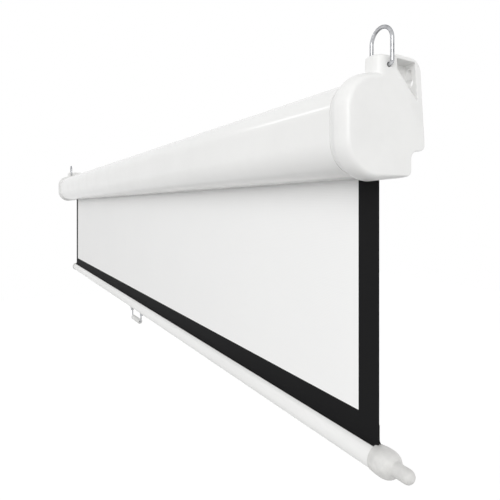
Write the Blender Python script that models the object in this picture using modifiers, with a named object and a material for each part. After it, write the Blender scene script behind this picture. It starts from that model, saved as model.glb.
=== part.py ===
"""Pull-down projector screen: a spring-roller screen in a wall case, drawn about a quarter of the way down.

Metres, +Z up. +X runs along the case, -Y faces the viewers and the wall is at Y = 0.
The origin is on the wall face at mid-length, level with the roller's axis.
"""

import math

import bmesh
import bpy
from mathutils import Matrix, Vector

# Screen fabric
FABRIC_WIDTH = 1.767
BORDER = 0.030
BORDER_IN_SLOT = 0.006
BACKING_THICKNESS = 0.0005
COATING_THICKNESS = 0.0003
FABRIC_TO_WALL = 0.026

# Fits
GAP = 0.0003
RUNNING_GAP = 0.0004
LEAST_RADIUS = 0.0005

# Roller
WRAP_RADIUS = 0.0266
TUBE_RADIUS = 0.0225
TUBE_WALL = 0.0012
TUBE_OVERHANG = 0.001
PLUG_DEPTH = 0.020
PLUG_FLANGE = 0.0017
SHAFT_RADIUS = 0.0055
IDLER_RADIUS = 0.005
IDLER_IN_PLUG = 0.014
TONGUE_HEIGHT = 0.009
TONGUE_THICKNESS = 0.004
SOCKET_RADIUS = 0.009
SOCKET_LENGTH = 0.014
CLIP_WIDTH = 0.0012
CLIP_RADIUS = 0.008

# Spring and its collar
SPRING_RADIUS = 0.0095
SPRING_WIRE = 0.0024
SPRING_PITCH = 0.0062
SPRING_TURNS = 17
COLLAR_LENGTH = 0.010
CROSS_PIN_RADIUS = 0.0012

# Ratchet
HUB_RADIUS = 0.010
HUB_STEP = 0.0026
HUB_TEETH = 4
HUB_STEP_DEG = 44.5
RATCHET_WIDTH = 0.005
PAWL_PIN_CIRCLE = 0.0165
PAWL_PIN_RADIUS = 0.0018
PAWL_EYE_RADIUS = 0.0036
PAWL_REACH = 0.0105
PAWL_NOSE = 0.0012
PAWL_LIFTED_DEG = 205

# Case section
CASE_DEPTH = 0.088
CASE_TOP = 0.0443
CASE_DROP = 0.0445
CASE_WALL = 0.0012
CASE_PAST_FABRIC = 0.004
CROWN_RADIUS = 0.100
CROWN_TILT_DEG = 14
FRONT_TOP_RADIUS = 0.030
FRONT_LOW_RADIUS = 0.032
REAR_RADIUS = 0.004
STEP_DEPTH = 0.017
STEP_HEIGHT = 0.0235
STEP_RADIUS = 0.006
STEP_HOLLOW_RADIUS = 0.008
REAR_LOW_RADIUS = 0.003
SLOT_FRONT = 0.005
SLOT_REAR = 0.0055
LIP_HEIGHT = 0.005

# End caps
CAP_LENGTH = 0.029
CAP_FLARE = 0.005
FLARE_LENGTH = 0.014
RIM_LENGTH = 0.013
RIM_INSET = 0.0065
FLARE_FROM_WALL = 0.010
FLARE_FULL_AT = 0.045
SPIGOT_LENGTH = 0.014
SPIGOT_WALL = 0.002
CAP_END_WALL = 0.0025
CAP_CAVITY_DEPTH = 0.008
CAP_WELL_RADIUS = 0.031
HUB_BOSS_RADIUS = 0.0125
HUB_BOSS_START = 0.0085

# Ear for the hanger, on top of each cap
EAR_WIDTH = 0.0195
EAR_FRONT = 0.057
EAR_DEPTH = 0.023
EAR_TOP = 0.064
EAR_CORNER = 0.009
EAR_EDGE = 0.0022
EAR_SET_IN = 0.0008

# Wall flange behind the ear
FLANGE_TOP = 0.0655
FLANGE_THICKNESS = 0.0075
FLANGE_SET_IN = 0.0006
FLANGE_RIM = 0.0037
FLANGE_CORNER = 0.012
FLANGE_LEAN = 0.007
POCKET_SLOPE_FRONT = 0.0515
POCKET_SLOPE_BACK = 0.0225
POCKET_FLOOR = 0.011
KEYHOLE_FROM_FACE = 0.0125
KEYHOLE_LOW = 0.0445
KEYHOLE_RISE = 0.0105
KEYHOLE_RADIUS = 0.0046
KEYHOLE_SLOT_RADIUS = 0.0025

# Hanger
HANGER_WIRE_RADIUS = 0.0018
HANGER_HEIGHT = 0.036
HANGER_SPAN = 0.027
HANGER_FOOT = 0.0075
HANGER_BEND = 0.0035
HANGER_PIVOT_UP = 0.0545
HANGER_PIVOT_FRONT = 0.044

# Screws that hold the caps in the case
SCREW_RADIUS = 0.0016
SCREW_HEAD_RADIUS = 0.0032
SCREW_LENGTH = 0.007
SCREW_FROM_SEAM = 0.007
SCREW_HEIGHTS = (0.026, -0.008)

# Weight bar
BAR_BELOW_CASE = 0.271
BAR_RADIUS = 0.0125
BAR_WALL = 0.0016
BAR_SLOT = 0.0096
HEM_ROD_RADIUS = 0.0065
HEM_ROD_SHORT = 0.003
BAR_PAST_FABRIC = 0.003
BAR_CAP_LAP = 0.002
BAR_CAP_FLARE = 0.006
BAR_CAP_RADIUS = 0.0139
BAR_CAP_LENGTH = 0.022
BAR_CAP_LIP = 0.0005
BAR_PIN_RADIUS = 0.007
BAR_PIN_LENGTH = 0.022

# Pull handle
HANDLE_OFFSET = 0.016
HANDLE_WIDTH = 0.080
HANDLE_DROP = 0.0195
HANDLE_LEG = 0.013
HANDLE_WIRE_RADIUS = 0.0015
HANDLE_BEND = 0.003
GRIP_LENGTH = 0.060
GRIP_RADIUS = 0.0058
EYE_LENGTH = 0.005
EYE_WIDTH = 0.007
EYE_DROP = 0.004
EYE_TAB = 0.009
EYE_TAB_THICKNESS = 0.0022
RIVET_RADIUS = 0.0015
RIVET_HEAD_RADIUS = 0.0027
RIVET_HEAD = 0.0010

# Facets
ROUND_STEPS = 36
SMALL_STEPS = 20
WIRE_RESOLUTION = 2
CUT_PAST = 0.002

HALF_FABRIC = FABRIC_WIDTH / 2
FABRIC_Y = -FABRIC_TO_WALL
ROLLER_Y = FABRIC_Y - WRAP_RADIUS
CASE_HALF = HALF_FABRIC + CASE_PAST_FABRIC
CAP_FACE = CASE_HALF + CAP_LENGTH
BAR_Z = -CASE_DROP - BAR_BELOW_CASE
TUBE_BORE = TUBE_RADIUS - TUBE_WALL
TUBE_HALF = HALF_FABRIC + TUBE_OVERHANG
PLUG_FACE = TUBE_HALF + GAP + PLUG_FLANGE
RATCHET_START = PLUG_FACE + RUNNING_GAP
RATCHET_END = RATCHET_START + RATCHET_WIDTH
BOSS_START = CASE_HALF + HUB_BOSS_START
SOCKET_START = BOSS_START + GAP
SPRING_START = TUBE_HALF - PLUG_DEPTH - GAP
SPRING_LENGTH = SPRING_TURNS * SPRING_PITCH + 2 * SPRING_WIRE
COLLAR_START = SPRING_START - SPRING_LENGTH - GAP
FABRIC_SHEET = BACKING_THICKNESS + GAP + COATING_THICKNESS
BAR_BORE = BAR_RADIUS - BAR_WALL
BAR_HALF = HALF_FABRIC + BAR_PAST_FABRIC
LIP_Z = BAR_Z + math.sqrt(BAR_BORE ** 2 - (BAR_SLOT / 2) ** 2)
HEM_ROD_Z = LIP_Z - math.sqrt((HEM_ROD_RADIUS + GAP) ** 2 - (BAR_SLOT / 2) ** 2)
FABRIC_LOW = HEM_ROD_Z + HEM_ROD_RADIUS + GAP
HANGER_HOLE_RADIUS = HANGER_WIRE_RADIUS + RUNNING_GAP
EAR_START = CAP_LENGTH - EAR_WIDTH
EAR_MIDDLE = CAP_FACE - EAR_WIDTH / 2
HANDLE_PIVOT_Z = BAR_Z - BAR_RADIUS - EYE_DROP
RIGHT, LEFT = 1, -1


def clear_scene():
    for thing in list(bpy.data.objects):
        bpy.data.objects.remove(thing, do_unlink=True)


clear_scene()
PARTS = bpy.data.collections.new("projector_screen")
CUTTERS = bpy.data.collections.new("cutters")
for group in (PARTS, CUTTERS):
    bpy.context.scene.collection.children.link(group)


def finish(name, colour, roughness, metallic=0.0):
    """One Principled material."""
    material = bpy.data.materials.new(name)
    material.use_nodes = True
    shader = material.node_tree.nodes["Principled BSDF"]
    shader.inputs["Base Color"].default_value = (*colour, 1.0)
    shader.inputs["Roughness"].default_value = roughness
    shader.inputs["Metallic"].default_value = metallic
    material.diffuse_color = (*colour, 1.0)
    return material


FINISHES = {
    "case_enamel": finish("case_enamel", (0.84, 0.84, 0.83), 0.25),
    "cap_plastic": finish("cap_plastic", (0.83, 0.83, 0.82), 0.30),
    "bar_enamel": finish("bar_enamel", (0.80, 0.80, 0.79), 0.35),
    "bar_cap_plastic": finish("bar_cap_plastic", (0.78, 0.78, 0.77), 0.40),
    "matte_white": finish("matte_white", (0.82, 0.82, 0.82), 0.95),
    "black_backing": finish("black_backing", (0.010, 0.010, 0.011), 0.85),
    "chrome_wire": finish("chrome_wire", (0.75, 0.76, 0.78), 0.12, 1.0),
    "zinc_steel": finish("zinc_steel", (0.56, 0.57, 0.58), 0.40, 1.0),
    "spring_steel": finish("spring_steel", (0.22, 0.22, 0.23), 0.35, 1.0),
    "nylon": finish("nylon", (0.72, 0.71, 0.66), 0.50),
    "grip_plastic": finish("grip_plastic", (0.74, 0.74, 0.73), 0.45),
}


def to_mesh(helper, matrix=None):
    """The closed mesh that a curve or a modified object makes, with the helper removed."""
    bpy.context.view_layer.update()
    graph = bpy.context.evaluated_depsgraph_get()
    mesh = bpy.data.meshes.new_from_object(helper.evaluated_get(graph))
    bpy.data.objects.remove(helper, do_unlink=True)
    if matrix is not None:
        mesh.transform(matrix)
    shape = bmesh.new()
    shape.from_mesh(mesh)
    bmesh.ops.remove_doubles(shape, verts=shape.verts, dist=1e-6)
    bmesh.ops.recalc_face_normals(shape, faces=shape.faces)
    shape.to_mesh(mesh)
    shape.free()
    return mesh


def helper_object(name, data):
    helper = bpy.data.objects.new(name, data)
    CUTTERS.objects.link(helper)
    return helper


ALONG_X = Matrix(((0, 0, 1, 0), (1, 0, 0, 0), (0, 1, 0, 0), (0, 0, 0, 1)))
ALONG_Y = Matrix(((1, 0, 0, 0), (0, 0, -1, 0), (0, 1, 0, 0), (0, 0, 0, 1)))
ALONG_Z = Matrix.Identity(4)
STOOD_UP = Matrix(((0, 1, 0, 0), (0, 0, 1, 0), (1, 0, 0, 0), (0, 0, 0, 1)))


def prism(outline, along, start, end):
    """A flat outline extruded: (y, z) points along X, (x, z) along Y or (x, y) along Z."""
    curve = bpy.data.curves.new("outline", "CURVE")
    curve.dimensions = "2D"
    curve.fill_mode = "BOTH"
    curve.extrude = abs(end - start) / 2
    spline = curve.splines.new("POLY")
    spline.points.add(len(outline) - 1)
    for point, (u, v) in zip(spline.points, outline):
        point.co = (u, v, 0, 1)
    spline.use_cyclic_u = True
    middle = (start + end) / 2
    lift = -middle if along is ALONG_Y else middle
    return to_mesh(helper_object("outline", curve), along @ Matrix.Translation((0, 0, lift)))


def turned(profile, y=0.0, z=0.0, steps=ROUND_STEPS, closed=False):
    """A profile of (x, radius) points turned about the line along X through (y, z)."""
    shape = bmesh.new()
    points = [shape.verts.new((x, 0, radius)) for x, radius in profile]
    pairs = list(zip(points, points[1:]))
    if closed:
        pairs.append((points[-1], points[0]))
    for pair in pairs:
        shape.edges.new(pair)
    mesh = bpy.data.meshes.new("profile")
    shape.to_mesh(mesh)
    shape.free()
    helper = helper_object("profile", mesh)
    screw = helper.modifiers.new("turn", "SCREW")
    screw.axis = "X"
    screw.steps = steps
    screw.render_steps = steps
    screw.use_merge_vertices = True
    screw.merge_threshold = 1e-5
    return to_mesh(helper, Matrix.Translation((0, y, z)))


def ring(start, end, bore, radius, y, z, steps=ROUND_STEPS):
    return turned([(start, bore), (start, radius), (end, radius), (end, bore)], y, z, steps, closed=True)


def rod(start, end, radius, y, z, steps=SMALL_STEPS):
    return turned([(start, 0), (start, radius), (end, radius), (end, 0)], y, z, steps)


def upright(mesh, x, y):
    """A mesh made about the X axis, stood up along Z through (x, y)."""
    mesh.transform(Matrix.Translation((x, y, 0)) @ STOOD_UP)
    return mesh


def across(mesh, x, z):
    """A mesh made about the X axis, turned to lie along Y through (x, z)."""
    mesh.transform(Matrix.Translation((x, 0, z)) @ ALONG_X)
    return mesh


def upright_rod(x, y, low, high, radius):
    return upright(rod(low, high, radius, 0, 0), x, y)


def block(low, high):
    low, high = Vector(low), Vector(high)
    shape = bmesh.new()
    stretched = Matrix.Translation((low + high) / 2) @ Matrix.Diagonal((*(high - low), 1))
    bmesh.ops.create_cube(shape, size=1.0, matrix=stretched)
    bmesh.ops.recalc_face_normals(shape, faces=shape.faces)
    mesh = bpy.data.meshes.new("block")
    shape.to_mesh(mesh)
    shape.free()
    return mesh


def wire(points, radius):
    curve = bpy.data.curves.new("wire", "CURVE")
    curve.dimensions = "3D"
    curve.bevel_depth = radius
    curve.bevel_resolution = WIRE_RESOLUTION
    curve.use_fill_caps = True
    spline = curve.splines.new("POLY")
    spline.points.add(len(points) - 1)
    for point, place in zip(spline.points, points):
        point.co = (*place, 1)
    return to_mesh(helper_object("wire", curve))


def rounded_path(corners, bend, steps=4):
    """The path through these corners, each inner one rounded to the bend radius."""
    corners = [Vector(corner) for corner in corners]
    path = [corners[0]]
    for before, corner, after in zip(corners, corners[1:], corners[2:]):
        back = (before - corner).normalized()
        on = (after - corner).normalized()
        half_angle = back.angle(on) / 2
        reach = bend / math.tan(half_angle)
        centre = corner + (back + on).normalized() * (bend / math.sin(half_angle))
        start = corner + back * reach - centre
        end = corner + on * reach - centre
        path += [centre + start.slerp(end, step / steps) * bend for step in range(steps + 1)]
    return path + [corners[-1]]


def arc(y, z, radius, start, end, steps):
    """Points on an arc in degrees: 0 points to +Y and 90 to +Z."""
    angles = [math.radians(start + (end - start) * step / steps) for step in range(steps + 1)]
    return [(y + radius * math.cos(angle), z + radius * math.sin(angle)) for angle in angles]


def sided(mesh, side):
    """The mesh as made for the right end, or its mirror image for the left."""
    if side == LEFT:
        mesh.transform(Matrix.Scale(-1, 4, (1, 0, 0)))
        mesh.flip_normals()
    return mesh


def add_part(name, mesh, material, parent=None, smooth=True):
    mesh.name = name
    mesh.materials.clear()
    mesh.materials.append(FINISHES[material])
    part = bpy.data.objects.new(name, mesh)
    PARTS.objects.link(part)
    if smooth:
        mesh.shade_smooth()
        mesh.set_sharp_from_angle(angle=math.radians(32))
    if parent:
        part.parent = parent
        part.matrix_parent_inverse = parent.matrix_world.inverted()
    return part


def combine(part, mesh, operation, tolerant=False):
    """Cuts a mesh from a part, or joins it on, with a Boolean that stays live."""
    tool = helper_object(part.name + "_" + operation.lower(), mesh)
    tool.location = part.location
    tool.scale = part.scale
    tool.hide_render = True
    tool.display_type = "WIRE"
    boolean = part.modifiers.new(operation.lower(), "BOOLEAN")
    boolean.operation = operation
    boolean.object = tool
    boolean.use_hole_tolerant = tolerant


def cut(part, mesh, tolerant=False):
    combine(part, mesh, "DIFFERENCE", tolerant)


def join(part, mesh, tolerant=False):
    combine(part, mesh, "UNION", tolerant)


def pivot(name, x, y, z):
    empty = bpy.data.objects.new(name, None)
    empty.location = (x, y, z)
    PARTS.objects.link(empty)
    bpy.context.view_layer.update()
    return empty


def case_outline(inset=0.0):
    """The case section as (y, z), from the slot's front lip round the front, top and back to its rear lip."""
    front, back = -CASE_DEPTH + inset, -inset
    top, low = CASE_TOP - inset, -CASE_DROP + inset
    step_y, ledge = -STEP_DEPTH - inset, -CASE_DROP + STEP_HEIGHT + inset
    low_radius = FRONT_LOW_RADIUS - inset
    corner_radius = FRONT_TOP_RADIUS - inset
    crown_radius = CROWN_RADIUS - inset
    rear_radius = max(REAR_RADIUS - inset, LEAST_RADIUS)
    step_radius = max(STEP_RADIUS - inset, LEAST_RADIUS)
    hollow_radius = STEP_HOLLOW_RADIUS + inset
    heel_radius = max(REAR_LOW_RADIUS - inset, LEAST_RADIUS)
    tilt = math.radians(CROWN_TILT_DEG)
    crown_y = front + corner_radius + (crown_radius - corner_radius) * math.sin(tilt)
    corner_z = top - crown_radius + (crown_radius - corner_radius) * math.cos(tilt)
    outline = [(FABRIC_Y - SLOT_FRONT, low)]
    outline += arc(front + low_radius, low + low_radius, low_radius, 270, 180, 10)
    outline += arc(front + corner_radius, corner_z, corner_radius, 180, 90 + CROWN_TILT_DEG, 7)
    outline += arc(crown_y, top - crown_radius, crown_radius, 90 + CROWN_TILT_DEG, 90, 5)[1:]
    outline += arc(back - rear_radius, top - rear_radius, rear_radius, 90, 0, 3)
    outline += arc(back - step_radius, ledge + step_radius, step_radius, 0, -90, 4)
    outline += arc(step_y + hollow_radius, ledge - hollow_radius, hollow_radius, 90, 180, 5)
    outline += arc(step_y - heel_radius, low + heel_radius, heel_radius, 0, -90, 3)
    outline.append((FABRIC_Y + SLOT_REAR, low))
    return outline


def smoothstep(value):
    value = min(max(value, 0.0), 1.0)
    return value * value * (3 - 2 * value)


def cap_swell(depth):
    """How far the cap stands proud of the case section, this far outward of the seam."""
    swell = CAP_FLARE * smoothstep(depth / FLARE_LENGTH)
    round_over = (depth - CAP_LENGTH + RIM_LENGTH) / RIM_LENGTH
    if round_over > 0:
        swell -= RIM_INSET * (1 - math.sqrt(max(1 - round_over ** 2, 0)))
    return swell


def cap_shell(flare_steps=5, rim_steps=6):
    """The cap's outside: the case section, swelling in an S to the rim and rounding over to the end face."""
    depths = [FLARE_LENGTH * step / flare_steps for step in range(flare_steps + 1)]
    rim_start = CAP_LENGTH - RIM_LENGTH
    quarter = [math.pi / 2 * step / rim_steps for step in range(1, rim_steps + 1)]
    depths += [rim_start + RIM_LENGTH * math.sin(angle) for angle in quarter]
    outline = [(min(y, -GAP), z) for y, z in case_outline()[1:-1]]
    shape = bmesh.new()
    rings = []
    for depth in depths:
        ring_points = []
        for index, (y, z) in enumerate(outline):
            before, after = outline[index - 1], outline[(index + 1) % len(outline)]
            run, rise = after[0] - before[0], after[1] - before[1]
            share = smoothstep((-y - FLARE_FROM_WALL) / (FLARE_FULL_AT - FLARE_FROM_WALL))
            reach = cap_swell(depth) * share / math.hypot(run, rise)
            out = GAP + depth * (CAP_LENGTH - GAP) / CAP_LENGTH
            ring_points.append(shape.verts.new((out, y - rise * reach, z + run * reach)))
        rings.append(ring_points)
    for inner, outer in zip(rings, rings[1:]):
        for index in range(len(outline)):
            after = (index + 1) % len(outline)
            shape.faces.new((inner[index], inner[after], outer[after], outer[index]))
    shape.faces.new(rings[0])
    shape.faces.new(rings[-1])
    bmesh.ops.recalc_face_normals(shape, faces=shape.faces)
    mesh = bpy.data.meshes.new("cap")
    shape.to_mesh(mesh)
    shape.free()
    return mesh


def ear_outline():
    front = -EAR_FRONT
    back = front + EAR_DEPTH + 2 * EAR_EDGE
    outer = CAP_LENGTH - EAR_SET_IN
    corner = arc(outer - EAR_CORNER, front + EAR_CORNER, EAR_CORNER, -90, 0, 6)
    return [(EAR_START, back), (EAR_START, front)] + corner + [(outer, back)]


def keyhole_outline(x, z):
    """A round hole for the screw's head, with a narrower slot rising from it."""
    half_mouth = math.degrees(math.asin(KEYHOLE_SLOT_RADIUS / KEYHOLE_RADIUS))
    outline = arc(x, z, KEYHOLE_RADIUS, 90 + half_mouth, 450 - half_mouth, 20)
    return outline + arc(x, z + KEYHOLE_RISE, KEYHOLE_SLOT_RADIUS, 0, 180, 8)


def screw_profile(play, low, high):
    """A countersunk screw, or its hole with this much play, as (distance along Y, radius)."""
    shank = SCREW_RADIUS + play
    head = shank + (SCREW_HEAD_RADIUS - SCREW_RADIUS) * (high + CASE_WALL) / CASE_WALL
    return [(low, 0), (low, shank), (-CASE_WALL, shank), (high, head), (high, 0)]


def make_case():
    outline = case_outline()
    lip_z = -CASE_DROP + LIP_HEIGHT
    outline = [(outline[0][0], lip_z)] + outline + [(outline[-1][0], lip_z)]
    shape = bmesh.new()
    rows = [[shape.verts.new((x, y, z)) for y, z in outline] for x in (-CASE_HALF, CASE_HALF)]
    for index in range(len(outline) - 1):
        shape.faces.new((rows[0][index], rows[1][index], rows[1][index + 1], rows[0][index + 1]))
    mesh = bpy.data.meshes.new("case")
    shape.to_mesh(mesh)
    shape.free()
    sheet = helper_object("case_sheet", mesh)
    wall = sheet.modifiers.new("wall", "SOLIDIFY")
    wall.thickness = CASE_WALL
    wall.offset = -1
    wall.use_even_offset = True
    case = add_part("case_shell", to_mesh(sheet), "case_enamel")
    for x in (-CASE_HALF + SCREW_FROM_SEAM, CASE_HALF - SCREW_FROM_SEAM):
        for z in SCREW_HEIGHTS:
            hole = turned(screw_profile(GAP, -CASE_WALL - CUT_PAST, CUT_PAST), steps=SMALL_STEPS)
            cut(case, across(hole, x, z))


def make_end_cap(name, side):
    """Each cap is made as a left one from its seam at X = 0, then moved out and mirrored for the right."""
    cap = add_part(name, sided(cap_shell(), LEFT), "cap_plastic")
    cap.location.x = side * CASE_HALF
    cap.scale.x = -side
    spigot_inset = CASE_WALL + GAP
    well_end = CAP_LENGTH - CAP_END_WALL
    socket_end = HUB_BOSS_START + SOCKET_LENGTH + 2 * GAP
    spigot = prism(case_outline(spigot_inset)[1:-1], ALONG_X, -SPIGOT_LENGTH, CAP_CAVITY_DEPTH)
    join(cap, sided(spigot, LEFT), tolerant=True)
    ear = prism(ear_outline(), ALONG_Z, CAP_WELL_RADIUS + EAR_EDGE, EAR_TOP)
    join(cap, sided(ear, LEFT), tolerant=True)
    rounding = cap.modifiers[-1].object.modifiers.new("edge", "BEVEL")
    rounding.width = EAR_EDGE
    rounding.segments = 3
    rounding.limit_method = "ANGLE"
    rounding.angle_limit = math.radians(40)
    ear_back = -EAR_FRONT + EAR_DEPTH
    flange_low, flange_front = CAP_WELL_RADIUS + CUT_PAST, ear_back - GAP
    flange = [(0, flange_low), (flange_front, flange_low), (flange_front, FLANGE_TOP)]
    flange += arc(-FLANGE_CORNER, FLANGE_TOP - FLANGE_CORNER, FLANGE_CORNER, 90, 0, 6)
    flange = prism(flange, ALONG_X, EAR_START - FLANGE_SET_IN, CAP_LENGTH - FLANGE_SET_IN)
    join(cap, sided(flange, LEFT), tolerant=True)
    cavity = case_outline(spigot_inset + SPIGOT_WALL)[1:-1]
    cavity = prism(cavity, ALONG_X, -SPIGOT_LENGTH - CUT_PAST, CAP_CAVITY_DEPTH)
    cut(cap, sided(cavity, LEFT), tolerant=True)
    well_start = CAP_CAVITY_DEPTH - CUT_PAST
    well = [(well_start, 0), (well_start, CAP_WELL_RADIUS), (well_end, CAP_WELL_RADIUS)]
    well += [(well_end, HUB_BOSS_RADIUS), (HUB_BOSS_START, HUB_BOSS_RADIUS)]
    well += [(HUB_BOSS_START, SOCKET_RADIUS + GAP), (socket_end, SOCKET_RADIUS + GAP), (socket_end, 0)]
    cut(cap, sided(turned(well, ROLLER_Y), LEFT), tolerant=True)
    slot_front = FABRIC_Y - SLOT_FRONT - CASE_WALL - GAP
    slot_low = (-SPIGOT_LENGTH - CUT_PAST, slot_front, -CASE_DROP - CUT_PAST)
    slot_high = (GAP / 2, -STEP_DEPTH, -CASE_DROP + 2 * LIP_HEIGHT)
    cut(cap, sided(block(slot_low, slot_high), LEFT), tolerant=True)
    for z in SCREW_HEIGHTS:
        hole = rod(-SCREW_LENGTH, 0, SCREW_RADIUS + GAP, 0, 0)
        cut(cap, sided(across(hole, -SCREW_FROM_SEAM, z), LEFT), tolerant=True)
    rim_low = FLANGE_TOP - FLANGE_RIM
    pocket = [(ear_back, POCKET_SLOPE_FRONT), (ear_back, rim_low), (-FLANGE_THICKNESS, rim_low)]
    pocket.append((-FLANGE_THICKNESS, POCKET_SLOPE_BACK))
    cut(cap, sided(prism(pocket, ALONG_X, POCKET_FLOOR, CAP_LENGTH + CUT_PAST), LEFT), tolerant=True)
    keyhole = keyhole_outline(CAP_LENGTH - KEYHOLE_FROM_FACE, KEYHOLE_LOW)
    cut(cap, sided(prism(keyhole, ALONG_Y, -FLANGE_THICKNESS - CUT_PAST, CUT_PAST), LEFT), tolerant=True)
    lean_low, lean_high = POCKET_SLOPE_BACK - CUT_PAST, FLANGE_TOP + CUT_PAST
    lean = [(CAP_LENGTH + GAP, lean_low), (CAP_LENGTH - FLANGE_LEAN, lean_high)]
    lean += [(CAP_LENGTH + CUT_PAST, lean_high), (CAP_LENGTH + CUT_PAST, lean_low)]
    cut(cap, sided(prism(lean, ALONG_Y, ear_back - 2 * GAP, CUT_PAST), LEFT), tolerant=True)
    hole_start, hole_end = EAR_START - CUT_PAST, CAP_LENGTH + CUT_PAST
    hole = rod(hole_start, hole_end, HANGER_HOLE_RADIUS, -HANGER_PIVOT_FRONT, HANGER_PIVOT_UP)
    cut(cap, sided(hole, LEFT), tolerant=True)


def make_cap_screws(name, side):
    for z, place in zip(SCREW_HEIGHTS, ("upper", "lower")):
        screw = turned(screw_profile(0, -SCREW_LENGTH, -GAP), steps=SMALL_STEPS)
        screw = sided(across(screw, CASE_HALF - SCREW_FROM_SEAM, z), side)
        add_part(f"{name}_{place}", screw, "zinc_steel")


def make_hanger(name, side):
    x, y, z = EAR_MIDDLE, -HANGER_PIVOT_FRONT, HANGER_PIVOT_UP
    half = HANGER_SPAN / 2
    top = z + HANGER_HEIGHT - half
    path = rounded_path([(x - half + HANGER_FOOT, y, z), (x - half, y, z), (x - half, y, top)], HANGER_BEND)
    path += [(x + u, y, v) for u, v in arc(0, top, half, 180, 0, 12)[1:-1]]
    right_leg = [(x + half, y, top), (x + half, y, z), (x + half - HANGER_FOOT, y, z)]
    path += rounded_path(right_leg, HANGER_BEND)
    turning = pivot(name + "_pivot", side * x, y, z)
    add_part(name, sided(wire(path, HANGER_WIRE_RADIUS), side), "chrome_wire", turning)


def make_roller(axle):
    tube = ring(-TUBE_HALF, TUBE_HALF, TUBE_BORE, TUBE_RADIUS, ROLLER_Y, 0)
    add_part("roller_tube", tube, "zinc_steel", axle)
    wound_radius = WRAP_RADIUS - BACKING_THICKNESS / 2 - FABRIC_SHEET
    wound = ring(-HALF_FABRIC, HALF_FABRIC, TUBE_RADIUS + GAP, wound_radius, ROLLER_Y, 0)
    add_part("fabric_roll", wound, "black_backing", axle)
    bores = {LEFT: SHAFT_RADIUS + RUNNING_GAP, RIGHT: IDLER_RADIUS + GAP}
    inner, seat, body = TUBE_HALF - PLUG_DEPTH, TUBE_HALF + GAP, TUBE_BORE - GAP
    for name, side in (("roller_plug_left", LEFT), ("roller_plug_right", RIGHT)):
        profile = [(inner, bores[side]), (inner, body), (seat, body), (seat, TUBE_RADIUS)]
        profile += [(PLUG_FACE, TUBE_RADIUS), (PLUG_FACE, bores[side])]
        plug = add_part(name, sided(turned(profile, ROLLER_Y, 0, closed=True), side), "nylon", axle)
        if side == LEFT:
            for turn in (RIGHT, LEFT):
                deep, radius = PLUG_FACE - PLUG_DEPTH / 2, PAWL_PIN_RADIUS + GAP
                hole = rod(deep, PLUG_FACE + CUT_PAST, radius, ROLLER_Y, turn * PAWL_PIN_CIRCLE)
                cut(plug, sided(hole, LEFT))
    pin_start, pin_end = PLUG_FACE - IDLER_IN_PLUG, SOCKET_START + SOCKET_LENGTH - RUNNING_GAP
    add_part("idler_pin", rod(pin_start, pin_end, IDLER_RADIUS, ROLLER_Y, 0), "zinc_steel", axle)
    clip_start = PLUG_FACE + GAP
    clip_bore = IDLER_RADIUS + GAP
    clip = ring(clip_start, clip_start + CLIP_WIDTH, clip_bore, CLIP_RADIUS, ROLLER_Y, 0, SMALL_STEPS)
    add_part("idler_clip", clip, "spring_steel", axle)


def pawl_mesh():
    """One pawl about its pin at the origin: a round eye and an arm that tapers to a round nose."""
    way = math.radians(PAWL_LIFTED_DEG)
    nose_y, nose_z = PAWL_REACH * math.cos(way), PAWL_REACH * math.sin(way)
    spread = math.degrees(math.acos((PAWL_EYE_RADIUS - PAWL_NOSE) / PAWL_REACH))
    outline = arc(0, 0, PAWL_EYE_RADIUS, PAWL_LIFTED_DEG + spread, PAWL_LIFTED_DEG + 360 - spread, 12)
    outline += arc(nose_y, nose_z, PAWL_NOSE, PAWL_LIFTED_DEG - spread, PAWL_LIFTED_DEG + spread, 5)
    return prism(outline, ALONG_X, RATCHET_START, RATCHET_END)


def make_pawls(axle):
    for number, turn in ((1, RIGHT), (2, LEFT)):
        y, z = ROLLER_Y, turn * PAWL_PIN_CIRCLE
        pin_start, clip_start = PLUG_FACE - PLUG_DEPTH / 2 + GAP, RATCHET_END + RUNNING_GAP
        pin = rod(pin_start, clip_start + 2 * CLIP_WIDTH, PAWL_PIN_RADIUS, y, z)
        add_part(f"pawl_pin_{number}", sided(pin, LEFT), "zinc_steel", axle)
        clip_end, clip_bore = clip_start + CLIP_WIDTH, PAWL_PIN_RADIUS + GAP
        clip = ring(clip_start, clip_end, clip_bore, PAWL_EYE_RADIUS, y, z, SMALL_STEPS)
        add_part(f"pawl_clip_{number}", sided(clip, LEFT), "spring_steel", axle)
        mesh = pawl_mesh()
        if turn == LEFT:
            mesh.transform(Matrix.Rotation(math.pi, 4, "X"))
        mesh.transform(Matrix.Translation((0, y, z)))
        swing = pivot(f"pawl_{number}_pivot", -RATCHET_START, y, z)
        swing.parent = axle
        swing.matrix_parent_inverse = axle.matrix_world.inverted()
        bpy.context.view_layer.update()
        pawl = add_part(f"pawl_{number}", sided(mesh, LEFT), "zinc_steel", swing)
        hole = rod(RATCHET_START - CUT_PAST, RATCHET_END + CUT_PAST, PAWL_PIN_RADIUS + RUNNING_GAP, y, z)
        cut(pawl, sided(hole, LEFT))


def hub_outline(steps=6):
    """Saw teeth: each falls slowly from the full radius and ends in a step that stops a pawl's nose."""
    outline = []
    pitch = 360 / HUB_TEETH
    for tooth in range(HUB_TEETH):
        for step in range(steps + 1):
            angle = math.radians(HUB_STEP_DEG + pitch * (tooth + step / steps))
            radius = HUB_RADIUS - HUB_STEP * step / steps
            outline.append((ROLLER_Y + radius * math.cos(angle), radius * math.sin(angle)))
    return outline


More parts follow.
